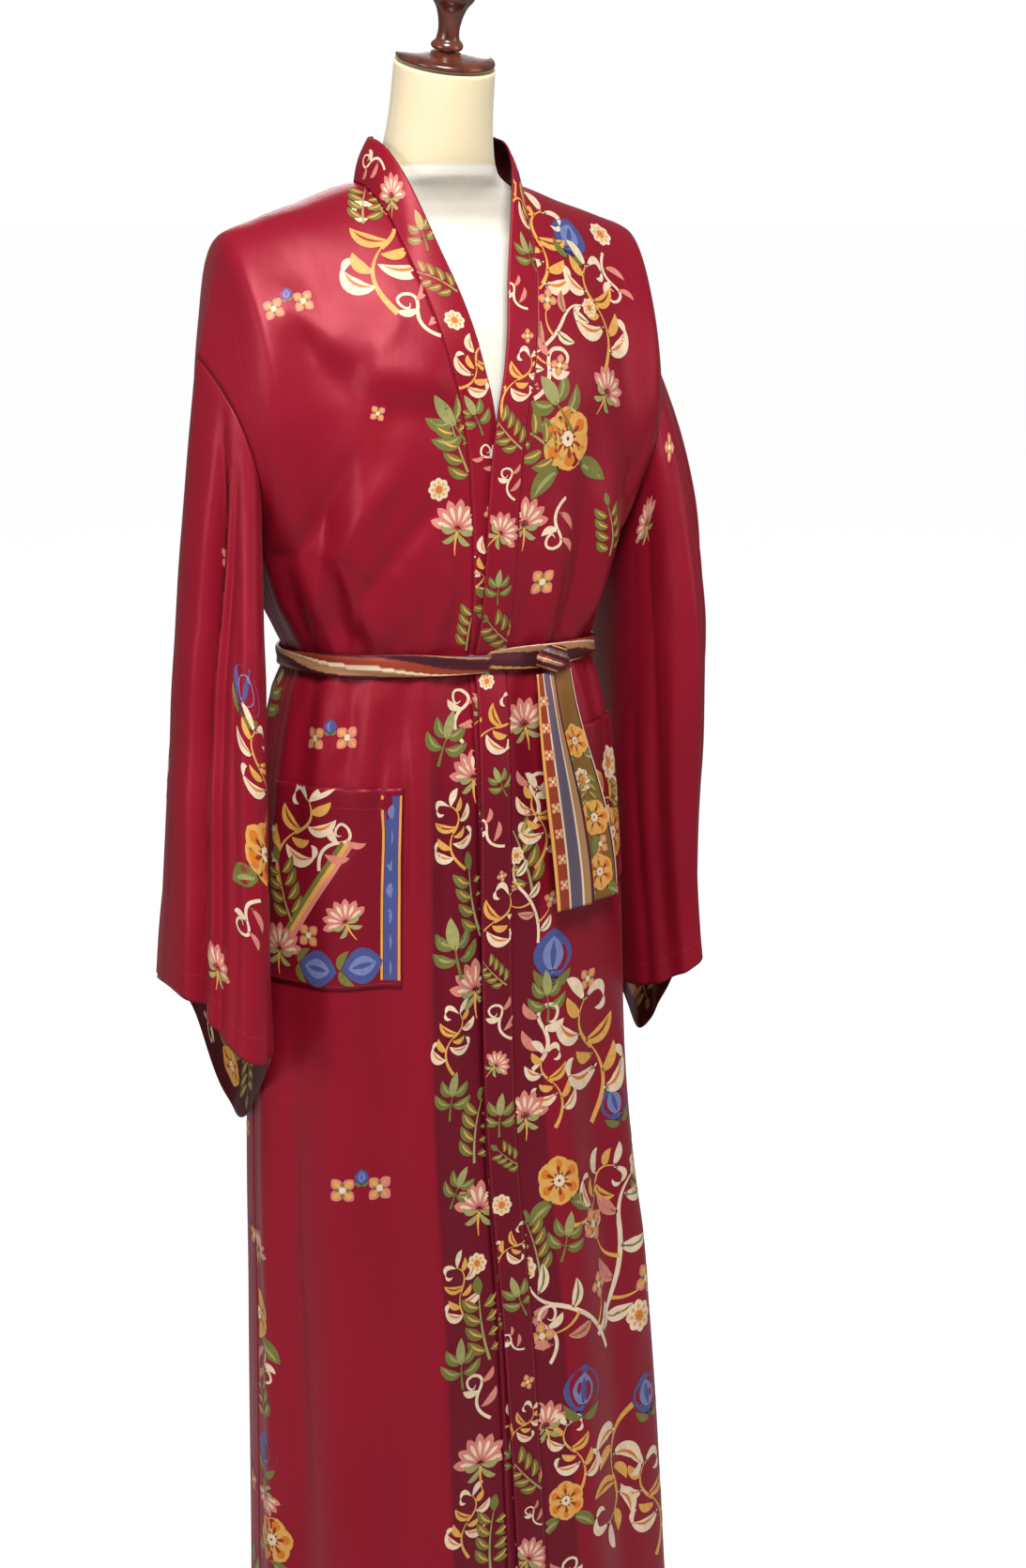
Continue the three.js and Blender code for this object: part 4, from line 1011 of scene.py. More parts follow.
def motif_table():
    """Flowers, leaves, buds and scrolls, each a list of strokes about its own middle."""
    cross = petals(4, 1, 11, 7, "pink", 45, 360, "leaf") + petals(4, 2, 9, 3.5, "gold", 45)
    cross += petals(4, 1, 6, 2, "olive", 0) + petals(6, 0, 2.6, 2, "cream")
    bloom = petals(6, 4, 24, 18, "gold") + petals(6, 8, 21, 8, "amber")
    bloom += petals(6, 5, 15, 3, "rust") + petals(8, 1, 6, 4, "cream", 22)
    leafy = pairs([(8, -20, 24, -22, 36, -38)], 13, "leaf", "olive")
    leafy += pairs([(10, -22, 24, -25, 33, -36)], 3, "leaf", "sage")
    daisy = petals(8, 3, 15, 8, "cream") + petals(8, 5, 11, 3, "gold") + petals(6, 0, 5, 4, "amber")
    bud = [
        stroke((0, -19, 0, 0, 0, 19), 28, "leaf", "blue"),
        stroke((0, -13, 0, 0, 0, 13), 15, "leaf", "sky"),
        stroke((0, -10, 0, 0, 0, 10), 4, "leaf", "blue"),
    ] + pairs([(0, -20, 10, -22, 16, -10)], 6, "leaf", "olive")
    palm = petals(7, 3, 31, 9, "pink", 0, 160) + petals(7, 8, 24, 3.5, "cream", 0, 160)
    palm += pairs([(0, 0, 14, -8, 19, 3), (0, -3, 8, -16, 16, -14)], 5, "leaf", "sage")
    palm += [stroke((0, -2, 2, -14, -1, -27), 3, "stem", "gold")]
    sprig = [stroke((0, -38, 6, -4, 0, 32), 2.6, "stem", "sage")]
    sprig += pairs([(2, y, 15, y + 1, 21, y + 15) for y in (-28, -13, 2, 16)], 9, "leaf", "olive")
    sprig += pairs([(3, y, 13, y + 2, 18, y + 12) for y in (-28, -13, 2, 16)], 2, "leaf", "gold")
    sprig += [stroke((0, 28, 2, 38, -1, 47), 9, "leaf", "olive")]
    scroll = [
        stroke((-6, -60, 26, -30, 5, 2), 4.6, "stem", "gold"),
        stroke((5, 2, -20, 26, 3, 44), 3.6, "stem", "gold"),
        stroke((3, 42, 24, 60, 24, 38), 7, "leaf", "cream"),
        stroke((24, 40, 24, 27, 13, 32), 4.5, "leaf", "cream"),
        stroke((11, -36, 32, -44, 40, -18), 13, "leaf", "cream"),
        stroke((38, -22, 38, -8, 27, -10), 6, "leaf", "cream"),
        stroke((11, -22, 28, -20, 30, -2), 9, "leaf", "gold"),
        stroke((9, -14, -14, -30, -30, -8), 12, "leaf", "cream"),
        stroke((-28, -12, -30, 2, -20, 2), 5.5, "leaf", "cream"),
        stroke((6, -4, -10, -8, -16, 6), 8, "leaf", "gold"),
        stroke((-3, 10, 20, 2, 31, 23), 11, "leaf", "gold"),
        stroke((-8, 18, -28, 14, -32, 38), 11, "leaf", "cream"),
        stroke((-4, 34, -16, 36, -18, 52), 9, "leaf", "gold"),
        stroke((1, 42, -4, 60, -16, 66), 9, "leaf", "cream"),
        stroke((14, -36, 30, -38, 37, -21), 2.6, "leaf", "amber"),
        stroke((5, -15, -13, -24, -27, -9), 2.6, "leaf", "amber"),
        stroke((1, 9, 19, 6, 28, 20), 2.4, "leaf", "rust"),
        stroke((-11, 19, -25, 19, -29, 34), 2.4, "leaf", "amber"),
    ]
    leaves = pairs([(1, -14, 16, -20, 25, -2), (1, -2, 14, -2, 18, 15)], 10, "leaf", "olive")
    leaves += pairs([(4, -14, 15, -17, 22, -4), (3, -1, 12, 1, 16, 12)], 2.4, "leaf", "sage")
    leaves += [stroke((0, -6, 2, 8, -1, 26), 10, "leaf", "sage"),
               stroke((0, -34, 2, -18, 0, 0), 3, "stem", "olive")]
    tendril = [
        stroke((0, -32, 20, -15, 7, 2), 3.2, "stripe", "cream"),
        stroke((7, 2, -9, 17, 8, 23), 2.8, "stripe", "cream"),
        stroke((8, 23, 21, 24, 17, 12), 2.5, "stripe", "cream"),
        stroke((17, 12, 12, 5, 8, 12), 2.4, "stem", "cream"),
        stroke((8, -15, -10, -13, -15, 1), 7, "leaf", "pink"),
        stroke((5, 4, 19, 1, 25, 12), 7, "leaf", "cream"),
        stroke((1, 12, -14, 12, -17, 24), 6, "leaf", "pink"),
    ]
    branch = [
        stroke((-4, -60, 18, -20, -2, 20), 3.4, "stripe", "cream"),
        stroke((-2, 20, -12, 44, 6, 60), 3.0, "stem", "cream"),
        stroke((5, -34, 22, -34, 34, -20), 2.6, "stem", "gold"),
        stroke((6, -4, -14, -8, -26, 10), 2.6, "stem", "gold"),
    ]
    for x, y, flip in ((4, -46, 1), (7, -20, -1), (4, 4, 1), (-4, 26, -1), (-3, 40, 1)):
        points = (x, y, x + 14 * flip, y - 2, x + 24 * flip, y + 12)
        branch.append(stroke(points, 9, "leaf", "cream" if flip > 0 else "pink"))
        branch.append(stroke(points, 2, "leaf", "olive"))
    branch += moved(cross, 36, -16, 1.1) + moved(cross, -30, 14, 1.2) + moved(daisy, 8, 64, 0.8)
    double = moved(cross, -13, 0, 0.95) + moved(cross, 13, 0, 0.95) + moved(bud, 0, 9, 0.3)
    rails = [stroke((0, 60, 0, 0, 0, -60), 7.5, "stripe", "blue")]
    rails += [stroke((x, 60, x, 0, x, -60), 1.3, "stripe", "gold") for x in (5.8, -5.4)]
    rails += [stroke((0, y - 5, 2, y, 0, y + 5), 3.5, "leaf", "sky") for y in range(-52, 53, 17)]
    sash = [stroke((-19 + x, 37, 3 + x, 3, 26 + x, -35), 2.6, "stripe", ink)
            for x, ink in ((0, "pink"), (3.6, "gold"), (7.2, "olive"))]
    return {
        "rails": rails, "sash": sash, "bloom": leafy + bloom, "cross": cross, "daisy": daisy,
        "bud": bud, "palm": palm, "sprig": sprig, "leaves": leaves, "scroll": scroll,
        "tendril": tendril, "branch": branch, "double": double,
    }


def stroke_points(table, samples=12):
    """Points of strokes: a quadratic curve through t from 0 to 1, and two edges that stand
    off it by the half width times a profile of t."""
    t = np.linspace(0, 1, samples)[None, :, None]
    start, bend, end = (table[:, None, k : k + 2] for k in (0, 2, 4))
    line = (1 - t) ** 2 * start + 2 * t * (1 - t) * bend + t**2 * end
    along = (1 - t) * (bend - start) + t * (end - bend)
    across = unit(np.stack([-along[..., 1], along[..., 0]], -1))
    t = t[..., 0]
    profiles = [
        np.sin(np.pi * t) ** 0.8,
        np.sin(np.pi * t**1.5) ** 0.7,
        1 - 0.75 * t,
        np.ones_like(t),
        np.sqrt(np.clip(1 - (2 * t - 1) ** 2, 0, 1)),
    ]
    kind = table[:, 7].astype(int)[:, None]
    half = np.choose(kind, [np.broadcast_to(p, (len(table), samples)) for p in profiles])
    half = (half * table[:, 6:7] * 0.6)[..., None]
    return np.stack([line - across * half, line, line + across * half], 2)


def sampled(values, row, column, closed):
    """Values of a grid between its points, by the weights of the four around each."""
    rows, columns = values.shape[:2]
    r = np.clip(np.floor(row).astype(int), 0, rows - 2)
    c = np.floor(column).astype(int)
    c = c if closed else np.clip(c, 0, columns - 2)
    u, v = (column - c)[..., None], (row - r)[..., None]
    c0, c1 = c % columns, (c + 1) % columns
    top = values[r, c0] * (1 - u) + values[r, c1] * u
    foot = values[r + 1, c0] * (1 - u) + values[r + 1, c1] * u
    return top * (1 - v) + foot * v


def printed(name, grid, closed, places, lift, inner=False):
    """Lays motifs on a grid as thin faces just off the cloth, on its inner face if asked. A
    place is the motif, the share along the rows and down the columns, the turn in degrees and
    the scale."""
    motifs = motif_table()
    normals, flat = grid_normals(grid, closed), arc_lengths(grid)
    rows, columns = grid.shape[:2]
    face = -1 if inner else 1
    points, colours, textures, faces, count = [], [], [], [], 0
    inks = np.array(list(INKS.values()))
    for k, (motif, share, drop, turn, scale) in enumerate(places):
        table = np.array(motifs[motif])
        local = stroke_points(table) * scale * PRINT_SCALE
        x, y = local[..., 0], local[..., 1]
        c, s = math.cos(math.radians(turn)), math.sin(math.radians(turn))
        x, y = x * c - y * s, x * s + y * c
        r0, c0 = drop * (rows - 1), share * (columns if closed else columns - 1)
        row_steps = np.linalg.norm(np.diff(grid[:, int(c0) % columns], axis=0), axis=-1)
        line = grid[int(r0)]
        if closed:
            line = np.concatenate([line, line, line, line[:1]])
        steps = np.linalg.norm(np.diff(line, axis=0), axis=-1)
        far_down = np.concatenate([[0], np.cumsum(row_steps)])
        far_across = np.concatenate([[0], np.cumsum(steps)])
        first = columns if closed else 0
        at_down = np.interp(r0, np.arange(rows), far_down) - y
        at_across = np.interp(c0 + first, np.arange(len(line)), far_across) + x
        row = np.interp(at_down, far_down, np.arange(rows), -9, rows + 9)
        column = np.interp(at_across, far_across, np.arange(len(line)), -9, len(line) + 9) - first
        kept = (row >= 0) & (row <= rows - 1)
        if not closed:
            kept &= (column >= 0) & (column <= columns - 1)
        row, column = np.clip(row, 0, rows - 1), np.where(kept, column, 0.0)
        order = np.arange(len(table))[:, None, None] / len(table)
        off = (lift + PRINT_LAYER * order + PRINT_STEP * (k % 4)) * face
        normal = sampled(normals, row, column, closed)
        p = sampled(grid, row, column, closed) + normal * off[..., None]
        index = np.arange(kept.size).reshape(kept.shape) + count
        quads = cells(index)
        whole = kept.ravel()[quads - count].all(1)
        a, b, d = (p.reshape(-1, 3)[quads[:, j] - count] for j in (0, 1, 3))
        out = normal.reshape(-1, 3)[quads[:, 1] - count]
        turned = np.sum(np.cross(b - a, d - a) * out, -1) * face < 0
        quads[turned] = quads[turned][:, ::-1]
        faces.append(quads[whole])
        points.append(p.reshape(-1, 3))
        textures.append(sampled(flat, row, column, closed).reshape(-1, 2))
        ink = inks[table[:, 8].astype(int)][:, None, None]
        tone = 1 + 0.10 * np.sin(5 * x + 3 * y)[..., None] * np.array([0.0, 1.0, 0.0])[:, None]
        colours.append(np.broadcast_to(ink * tone, (*kept.shape, 3)).reshape(-1, 3))
        count += kept.size
    faces, points = np.concatenate(faces), np.concatenate(points)
    used, faces = np.unique(faces, return_inverse=True)
    faces = faces.reshape(-1, 4)
    tint, uv = with_alpha(np.concatenate(colours)[used]), np.concatenate(textures)[used]
    piece = make_object(name, points[used], faces, cloth_material("print_silk"), uv, tint)
    return piece


# ------------------------------------------------------------------ settings
def colour(name, value, about):
    return FloatVectorProperty(
        name=name, description=about, default=value, size=3, subtype="COLOR", min=0.0, max=1.0
    )


def number(name, value, about, unit, **limits):
    return FloatProperty(name=name, description=about, default=value, unit=unit, **limits)


class RobeSettings(bpy.types.PropertyGroup):
    """Cloth of the robe and belt."""

    thickness: number("Cloth Thickness", 0.0009, "Distance between the two faces of the silk",
                      "LENGTH", min=0.0004, max=0.002)
    silk: colour("Silk", (0.255, 0.006, 0.019), "Ground colour of the robe")
    # This border colour is also the one the back, the far front and the far sleeve are mixed towards
    # all over, as painted shade.
    border: colour("Border", (0.13, 0.004, 0.014), "Darker ground along the front edges")
    belt: colour("Belt", (0.05, 0.012, 0.018), "Ground colour of the belt")


class FormSettings(bpy.types.PropertyGroup):
    """Finishes of the dress form and its stand."""

    cover: colour("Cover", (0.93, 0.88, 0.76), "Cloth over the form's body")
    neck: colour("Neck", (0.86, 0.72, 0.46), "Cloth over the form's neck")
    wood_dark: colour("Dark Grain", (0.022, 0.005, 0.003), "Dark streaks of the wood")
    wood_light: colour("Light Grain", (0.20, 0.038, 0.014), "Light streaks of the wood")


class StageSettings(bpy.types.PropertyGroup):
    """Camera, lights and floor."""

    azimuth: number("Azimuth", math.radians(-28.0), "Angle of the camera from the robe's front",
                    "ROTATION")
    distance: number("Distance", 2.5, "Level distance from the stand's axis to the camera",
                     "LENGTH", min=0.5)
    height: number("Height", 1.45, "Level of the camera", "LENGTH", min=0.0)
    pitch: number("Pitch", math.radians(12.6), "How far the camera looks down", "ROTATION")
    key_power: number("Key Power", 88.0, "Power of the light above", "POWER")
    side_power: number("Side Power", 28.0, "Power of the side and rear lights", "POWER")
    fill_power: number("Fill Power", 16.0, "Power of the soft light", "POWER")


# ------------------------------------------------------------------ the robe's pieces
SIDES = {"right": -1, "left": 1}


def ground(context, grid, amount=0.0, border=0.0, inner=0.5):
    """The silk's colour at each point: mixed towards the border's darker one by an amount
    everywhere, which on the back, the far front and the far sleeve is painted shade, and wholly
    within a share of the rows' start, from the waist down, which is the printed border. The inner
    face is darker by a factor, painted shade inside the robe."""
    silk, dark = np.array(context.scene.robe.silk), np.array(context.scene.robe.border)
    share = np.linspace(0, 1, grid.shape[1])[None]
    mask = smooth((border - share) / 0.012 + 0.5) * smooth((WAIST_Z - grid[..., 2]) / 160)
    # The amount all over is painted shade on the panels away from the light, fading out between 1180
    # and 1480 mm.
    mask = np.clip(np.maximum(mask, amount * smooth((1480 - grid[..., 2]) / 300)), 0, 1)
    tint = with_alpha(mix(silk, dark, mask[..., None]).reshape(-1, 3))
    # The inner face is darker by the factor: painted shade inside the robe.
    return np.concatenate([tint, tint * (inner, inner, inner, 1)])


def robe_piece(name, grid, closed, thick, tint):
    """A wall of the robe's silk, in place of the node of the same name."""
    vertices, faces, uv = wall(grid, closed, thick)
    piece = make_object("robe_" + name, vertices, faces, cloth_material("robe_silk"), uv, tint)
    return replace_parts(piece, name)


def band_places(first):
    """Small motifs by equal steps down a neckband, standing and leaning to either side."""
    count = 33
    return [
        (BAND_MOTIFS[(k + first) % len(BAND_MOTIFS)], 0.5 + 0.2 * math.sin(2.3 * k + first),
         0.02 + 0.96 * (k + first / 10) / count, 50 * math.sin(1.7 * k + first),
         0.42 + 0.1 * math.sin(3.1 * k))
        for k in range(count)
    ]


def back_places():
    """Motifs on a loose grid, each moved off its place by a seeded draw: close together on the
    wearer's left and down the other side seam, and few between them."""
    draw = np.random.default_rng(11)
    share_kept = (0.6, 0.14, 0.16, 0.4, 0.9, 1.0, 1.0)
    made = []
    for row in range(15):
        for column, kept in enumerate(share_kept):
            dx, dy, chance = draw.uniform(-0.35, 0.35, 2).tolist() + [draw.uniform()]
            pick, turn = draw.integers(len(BACK_MOTIFS)), draw.uniform(-40, 40)
            if chance < kept:
                share = (column + 0.5 + dx) / 7
                made.append((BACK_MOTIFS[pick], share, (row + 0.6 + dy) / 15.6, turn, 0.72))
    return made


class ROBE_OT_body(bpy.types.Operator):
    """Build the back and the two fronts"""

    bl_idname = "robe.body"
    bl_label = "Body Panels"

    def execute(self, context):
        thick = context.scene.robe.thickness / MM
        grids = {"back": back_grid(), "front_right": front_grid(-1), "front_left": front_grid(1)}
        for name, grid in grids.items():
            # The back and the far front are darkened all over as painted shade; the near front's
            # dark border is print.
            tint = ground(context, grid, *PAINTED_SHADE_AND_BORDER[name])
            piece = robe_piece(name, grid, False, thick, tint)
            places = PRINT.get(name) or back_places()
            motifs = printed("print_" + name, grid, False, places, thick / 2 + PRINT_LIFT)
            lines = [(0, 0.986, 1, 0.986)] + SEAM_STITCHES.get(name, [])
            hem = stitched("stitches_" + name, grid, False, lines, thick / 2 + STITCH_LIFT)
        return {"FINISHED"}


class ROBE_OT_neckband(bpy.types.Operator):
    """Build the two halves of the neckband"""

    bl_idname = "robe.neckband"
    bl_label = "Neckband"

    def execute(self, context):
        for word, side in SIDES.items():
            grid = band_grid(side)
            name = "neckband_" + word
            # The inner face is made much darker, painted shade inside the collar; the dark ground
            # from the waist down is the printed border.
            tint = ground(context, grid, 0.1, 1.1, inner=0.12)
            piece = robe_piece(name, grid, False, BAND_THICK, tint)
            motifs = printed("print_" + name, grid, False, band_places(3 + 2 * side),
                             BAND_THICK / 2 + PRINT_LIFT)
            edge = stitched("stitches_" + name, grid, False,
                            [(0.07, 0, 0.07, 1), (0.95, 0, 0.95, 1)], BAND_THICK / 2 + STITCH_LIFT)
        return {"FINISHED"}


class ROBE_OT_sleeves(bpy.types.Operator):
    """Build the two open sleeves"""

    bl_idname = "robe.sleeves"
    bl_label = "Sleeves"

    def execute(self, context):
        thick = context.scene.robe.thickness / MM
        for word, side in SIDES.items():
            grid = sleeve_grid(side)
            name = "sleeve_" + word
            # The far sleeve is darkened all over and both sleeves are darker inside: painted shade.
            tint = ground(context, grid, 0.15 if word == "left" else 0.0, inner=0.16)
            piece = robe_piece(name, grid, True, thick, tint)
            lift = thick / 2 + PRINT_LIFT
            border = [
                (CUFF_MOTIFS[k % len(CUFF_MOTIFS)], (k + 0.5) / 16, 0.93, 180 + 10 * (-1) ** k, 0.5)
                for k in range(16)
            ]
            motifs = [
                printed("print_" + name, grid, True, PRINT[name], lift),
                printed("lining_print_" + word, grid, True, border, lift, inner=True),
                stitched("stitches_" + name, grid, True,
                         [(0, 0.955, 1, 0.955), (0, 0.012, 1, 0.012)], lift),
            ]
        return {"FINISHED"}


def pocket_grid(name):
    """A piece of the front between two of its columns and two levels, moved out."""
    side, low, high, top, bottom = POCKETS[name]
    rows, columns = 48, 40
    level = np.linspace(top, bottom, rows) - UNDERARM_Z
    seam = q_where(level, lambda z: curve(NECKLINE, 1, z))
    share = np.linspace(low, high, columns)
    q = seam[:, None] + (1 - seam[:, None]) * share
    grid = tucked(cloth_point(-1, side * q, level[:, None]), side)
    # The mouth gapes a little, most in its middle.
    from_mouth = smooth(1 - np.arange(rows)[:, None] / 15)
    gape = 3.2 * np.sin(np.pi * np.linspace(0, 1, columns)) * from_mouth
    return grid + grid_normals(grid, False) * (1.7 + gape)[..., None]


class ROBE_OT_pockets(bpy.types.Operator):
    """Build the two patch pockets"""

    bl_idname = "robe.pockets"
    bl_label = "Pockets"

    def execute(self, context):
        for name in POCKETS:
            grid = pocket_grid(name)
            # The pocket is mixed half way towards the border colour all over, and its inner face is
            # darker by half, as painted shade.
            piece = robe_piece(name, grid, False, POCKET_THICK, ground(context, grid, 0.5))
            motifs = printed("print_" + name, grid, False, PRINT[name],
                             POCKET_THICK / 2 + PRINT_LIFT)
            lines = [(0.03, 0.06, 0.03, 0.98), (0.03, 0.98, 0.97, 0.98), (0.97, 0.98, 0.97, 0.06),
                     (0.03, 0.1, 0.97, 0.1)]
            edge = stitched("stitches_" + name, grid, False, lines, POCKET_THICK / 2 + STITCH_LIFT)
        return {"FINISHED"}


# ------------------------------------------------------------------ the belt
def belt_grid():
    """The waist's section, moved out, as a flat tube whose wraps slant round it."""
    columns, around = 336, 48
    turn = 4 * np.arange(columns) / columns
    front = (turn < 1) | (turn > 3)
    q = np.where(turn < 1, turn, np.where(turn < 3, 2 - turn, turn - 4))
    x, y = np.empty(columns), np.empty(columns)
    for half, mask in ((-1, front), (1, ~front)):
        x[mask], y[mask] = ring_point(half, q[mask], np.full(mask.sum(), WAIST_Z))
    line = stacked(x, y)
    along = np.roll(line, -1, 0) - np.roll(line, 1, 0)
    normal = unit(stacked(along[:, 1], -along[:, 0]))
    normal *= np.sign(np.sum(normal * line, -1, keepdims=True))
    length = np.concatenate([[0], np.cumsum(np.linalg.norm(np.diff(line, axis=0), axis=-1))])
    angle = 2 * np.pi * np.arange(around) / around
    wrap = np.cos(angle[None] * 3 + length[:, None] * 2 * np.pi / BELT_WRAP)
    half_height = BELT_HEIGHT / 2 - 3.4 + 1.4 * np.sin(length * 2 * np.pi / BELT_SWELL)[:, None]
    depth = BELT_THICK / 2 * (1.15 + 0.4 * wrap)
    out = BELT_OUT + depth * rounded(np.cos(angle), 0.7)
    up = half_height * (1 + 0.05 * wrap) * rounded(np.sin(angle), 0.8)
    sag = 1.4 * np.sin(length * 2 * np.pi / BELT_SAG + 0.6)[:, None]
    xy = line[:, None] + normal[:, None] * out[..., None]
    return np.concatenate([xy, (WAIST_Z + sag + up)[..., None]], -1)


def ring_faces(rows, columns):
    """Quads of a grid that closes both ways."""
    index = np.arange(rows * columns).reshape(rows, columns)
    right, down = np.roll(index, -1, 1), np.roll(index, -1, 0)
    return np.stack([index, right, np.roll(right, -1, 0), down], -1).reshape(-1, 4)


def outside_point(x, z, out):
    """A point out millimetres from the front's plain section."""
    level = np.broadcast_to(z - UNDERARM_Z, np.shape(x)).ravel()
    low, high = np.zeros(level.shape), np.ones(level.shape)
    flat = np.abs(np.asarray(x, float)).ravel()
    for _ in range(40):
        middle = (low + high) / 2
        short = still_point(-1, middle, level)[:, 0] < flat
        low, high = np.where(short, middle, low), np.where(short, high, middle)
    px, py = ring_point(-1, np.sign(np.asarray(x)).ravel() * low, level + UNDERARM_Z)
    half_width = ring_point(-1, np.ones(level.shape), level + UNDERARM_Z)[0]
    half_depth = ring_point(-1, np.zeros(level.shape), level + UNDERARM_Z)[1]
    normal = unit(stacked(px / half_width**2, py / half_depth**2, 0.0))
    point = stacked(px, py, level + UNDERARM_Z) + normal * np.ravel(out)[:, None]
    return point.reshape(*np.shape(x), 3)


def tail_grid(name):
    """A strip out from the front that leans and widens as it hangs, with two soft waves."""
    top_x, bottom_x, top_half, bottom_half, out = TAILS[name]
    down = np.linspace(0, 1, 80)[:, None]
    across = np.linspace(-1, 1, 41)[None]
    z = mix(TAIL_TOP, TAIL_BOTTOM, down)
    middle = mix(top_x, bottom_x, smooth(down * 0.9 + 0.05))
    half = mix(top_half, bottom_half, smooth(down * 1.6))
    x = middle + half * across
    phase = 0.0 if name.endswith("inner") else 1.7
    fold = 1.5 * np.cos(across * 2.6 + phase + 2.2 * down) * smooth(down * 4)
    fold = fold + 1.0 * np.sin(down * 9 + phase) * across
    return outside_point(x, np.broadcast_to(z, x.shape), np.broadcast_to(out + fold, x.shape))


BELT_STRIPES = ((0.16, None), (0.27, "tan"), (0.31, "cream"), (0.42, "rust"), (0.6, None),
                (0.66, "tan"), (0.78, "slate"), (0.9, None), (0.96, "gold"), (1.0, None))
TAIL_STRIPES = {
    "belt_tail_inner": ((0.06, "gold"), (0.3, "rust"), (0.35, "cream"), (0.72, "slate"),
                        (0.77, "cream"), (0.94, "tan"), (1.0, None)),
    "belt_tail_outer": ((0.05, "cream"), (0.1, None), (0.9, "bronze"), (0.95, None),
                        (1.0, "cream")),
}


def belt_stripes(share, plain, stripes=BELT_STRIPES):
    """The colour of each stripe up to its share, plain where it has no ink."""
    share = np.ravel(share) % 1.0001
    tint = np.empty((len(share), 4))
    tint[:, 3] = 1
    low = -1.0
    for high, ink in stripes:
        here = (share > low) & (share <= high + 0.001)
        tint[here, :3] = plain if ink is None else INKS[ink]
        low = high + 0.001
    return tint


def knot_grid():
    """An oval lump with two slanting wraps: the radius swells with a cosine of both angles."""
    rows, columns = 40, 72
    polar = np.linspace(0.02, np.pi - 0.02, rows)[:, None]
    turn = (2 * np.pi * np.arange(columns) / columns)[None]
    wrap = 1 + 0.10 * np.cos(3 * turn + 3.2 * polar) + 0.05 * np.cos(5 * polar - 2 * turn)
    long, deep, high = (size * wrap for size in KNOT_SIZE)
    x, y = long * np.cos(polar), deep * np.sin(polar) * np.cos(turn)
    z = high * np.sin(polar) * np.sin(turn)
    centre = outside_point(np.array([KNOT_X]), np.array([WAIST_Z]), np.array([KNOT_OUT]))[0]
    # It lies along the slope that the waist's section has there.
    half_width, half_depth = (curve(ROBE_RINGS, k, WAIST_Z) for k in (1, 2))
    angle = math.atan2(KNOT_X / half_width**2, KNOT_Y / half_depth**2)
    c, s = math.cos(angle), math.sin(angle)
    return stacked(x * c - y * s, x * s + y * c, z) + centre


class ROBE_OT_belt(bpy.types.Operator):
    """Build the belt's waist loop, knot and hanging ends"""

    bl_idname = "robe.belt"
    bl_label = "Belt"

    def execute(self, context):
        silk = cloth_material("sash_satin")
        ground_ink = np.array(context.scene.robe.belt)
        grid = belt_grid()
        rows, columns = grid.shape[:2]
        vertices = grid.reshape(-1, 3)
        faces = faces_outward(vertices, ring_faces(rows, columns))
        around, along = np.arange(columns) * BELT_ROUND, np.arange(rows)[:, None] * BELT_LONG
        uv = stacked(around / columns, along / rows).reshape(-1, 2)
        turn, far = np.meshgrid(np.arange(columns) / columns, np.arange(rows) / rows)
        tint = belt_stripes(turn + 1.5 * far + 0.03 * np.sin(40 * far), ground_ink)
        loop = make_object("belt_loop", vertices, faces, silk, uv, tint)
        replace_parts(loop, "belt")
        grid = knot_grid()
        vertices, faces = closed_loft(grid)
        uv = vertices[:, [0, 2]] * MM
        local = vertices - vertices.mean(0)
        tint = belt_stripes(0.4 + local[:, 2] / 22 + local[:, 0] / 60, ground_ink)
        knot = make_object("belt_knot_wrapped", vertices, faces, silk, uv, tint)
        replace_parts(knot, "belt_knot")
        for name in TAILS:
            grid = tail_grid(name)
            vertices, faces, uv = wall(grid, False, TAIL_THICK)
            share = np.broadcast_to(np.linspace(0, 1, grid.shape[1]), grid.shape[:2])
            tint = belt_stripes(share, ground_ink, TAIL_STRIPES[name])
            tint = np.concatenate([tint, tint])
            tail = make_object(name + "_silk", vertices, faces, silk, uv, tint)
            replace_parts(tail, name)
            motifs = printed("print_" + name, grid, False, PRINT[name],
                             TAIL_THICK / 2 + PRINT_LIFT)
        return {"FINISHED"}


# ------------------------------------------------------------------ the dress form
def form_grid():
    """Sections round the form, each tilted and carried forward where the neck leans."""
    columns, rows = 96, 240
    keys = np.array([row[0] for row in FORM_RINGS], float)
    spread = np.linspace(0, len(keys) - 1, rows)
    z = np.interp(spread, np.arange(len(keys)), keys)
    side, front, back, lean, tilt = (curve(FORM_RINGS, k, z)[:, None] for k in range(1, 6))
    angle = (2 * np.pi * np.arange(columns) / columns)[None]
    depth = np.where(np.cos(angle) > 0, front, back)
    y = -depth * rounded(np.cos(angle), FORM_POWER)
    x = side * rounded(np.sin(angle), FORM_POWER)
    tilt = np.radians(tilt)
    # The cover's side seams and the join at the neck's foot pull in a little.
    z = z[:, None]
    seam = 1 - 0.006 * (bell(np.sin(angle - np.pi / 2) / 0.02) + bell((z - NECK_JOIN) / 1.2))
    return stacked(x * seam, y * np.cos(tilt) * seam - lean, z + y * np.sin(tilt))


def on_neck(grid, lift):
    """Sets a turned piece square on the leaning neck."""
    tilt = math.radians(NECK_TILT)
    c, s = math.cos(tilt), math.sin(tilt)
    y, z = grid[..., 1], grid[..., 2] + lift
    return stacked(grid[..., 0], y * c - z * s - NECK_LEAN, NECK_TOP + y * s + z * c)


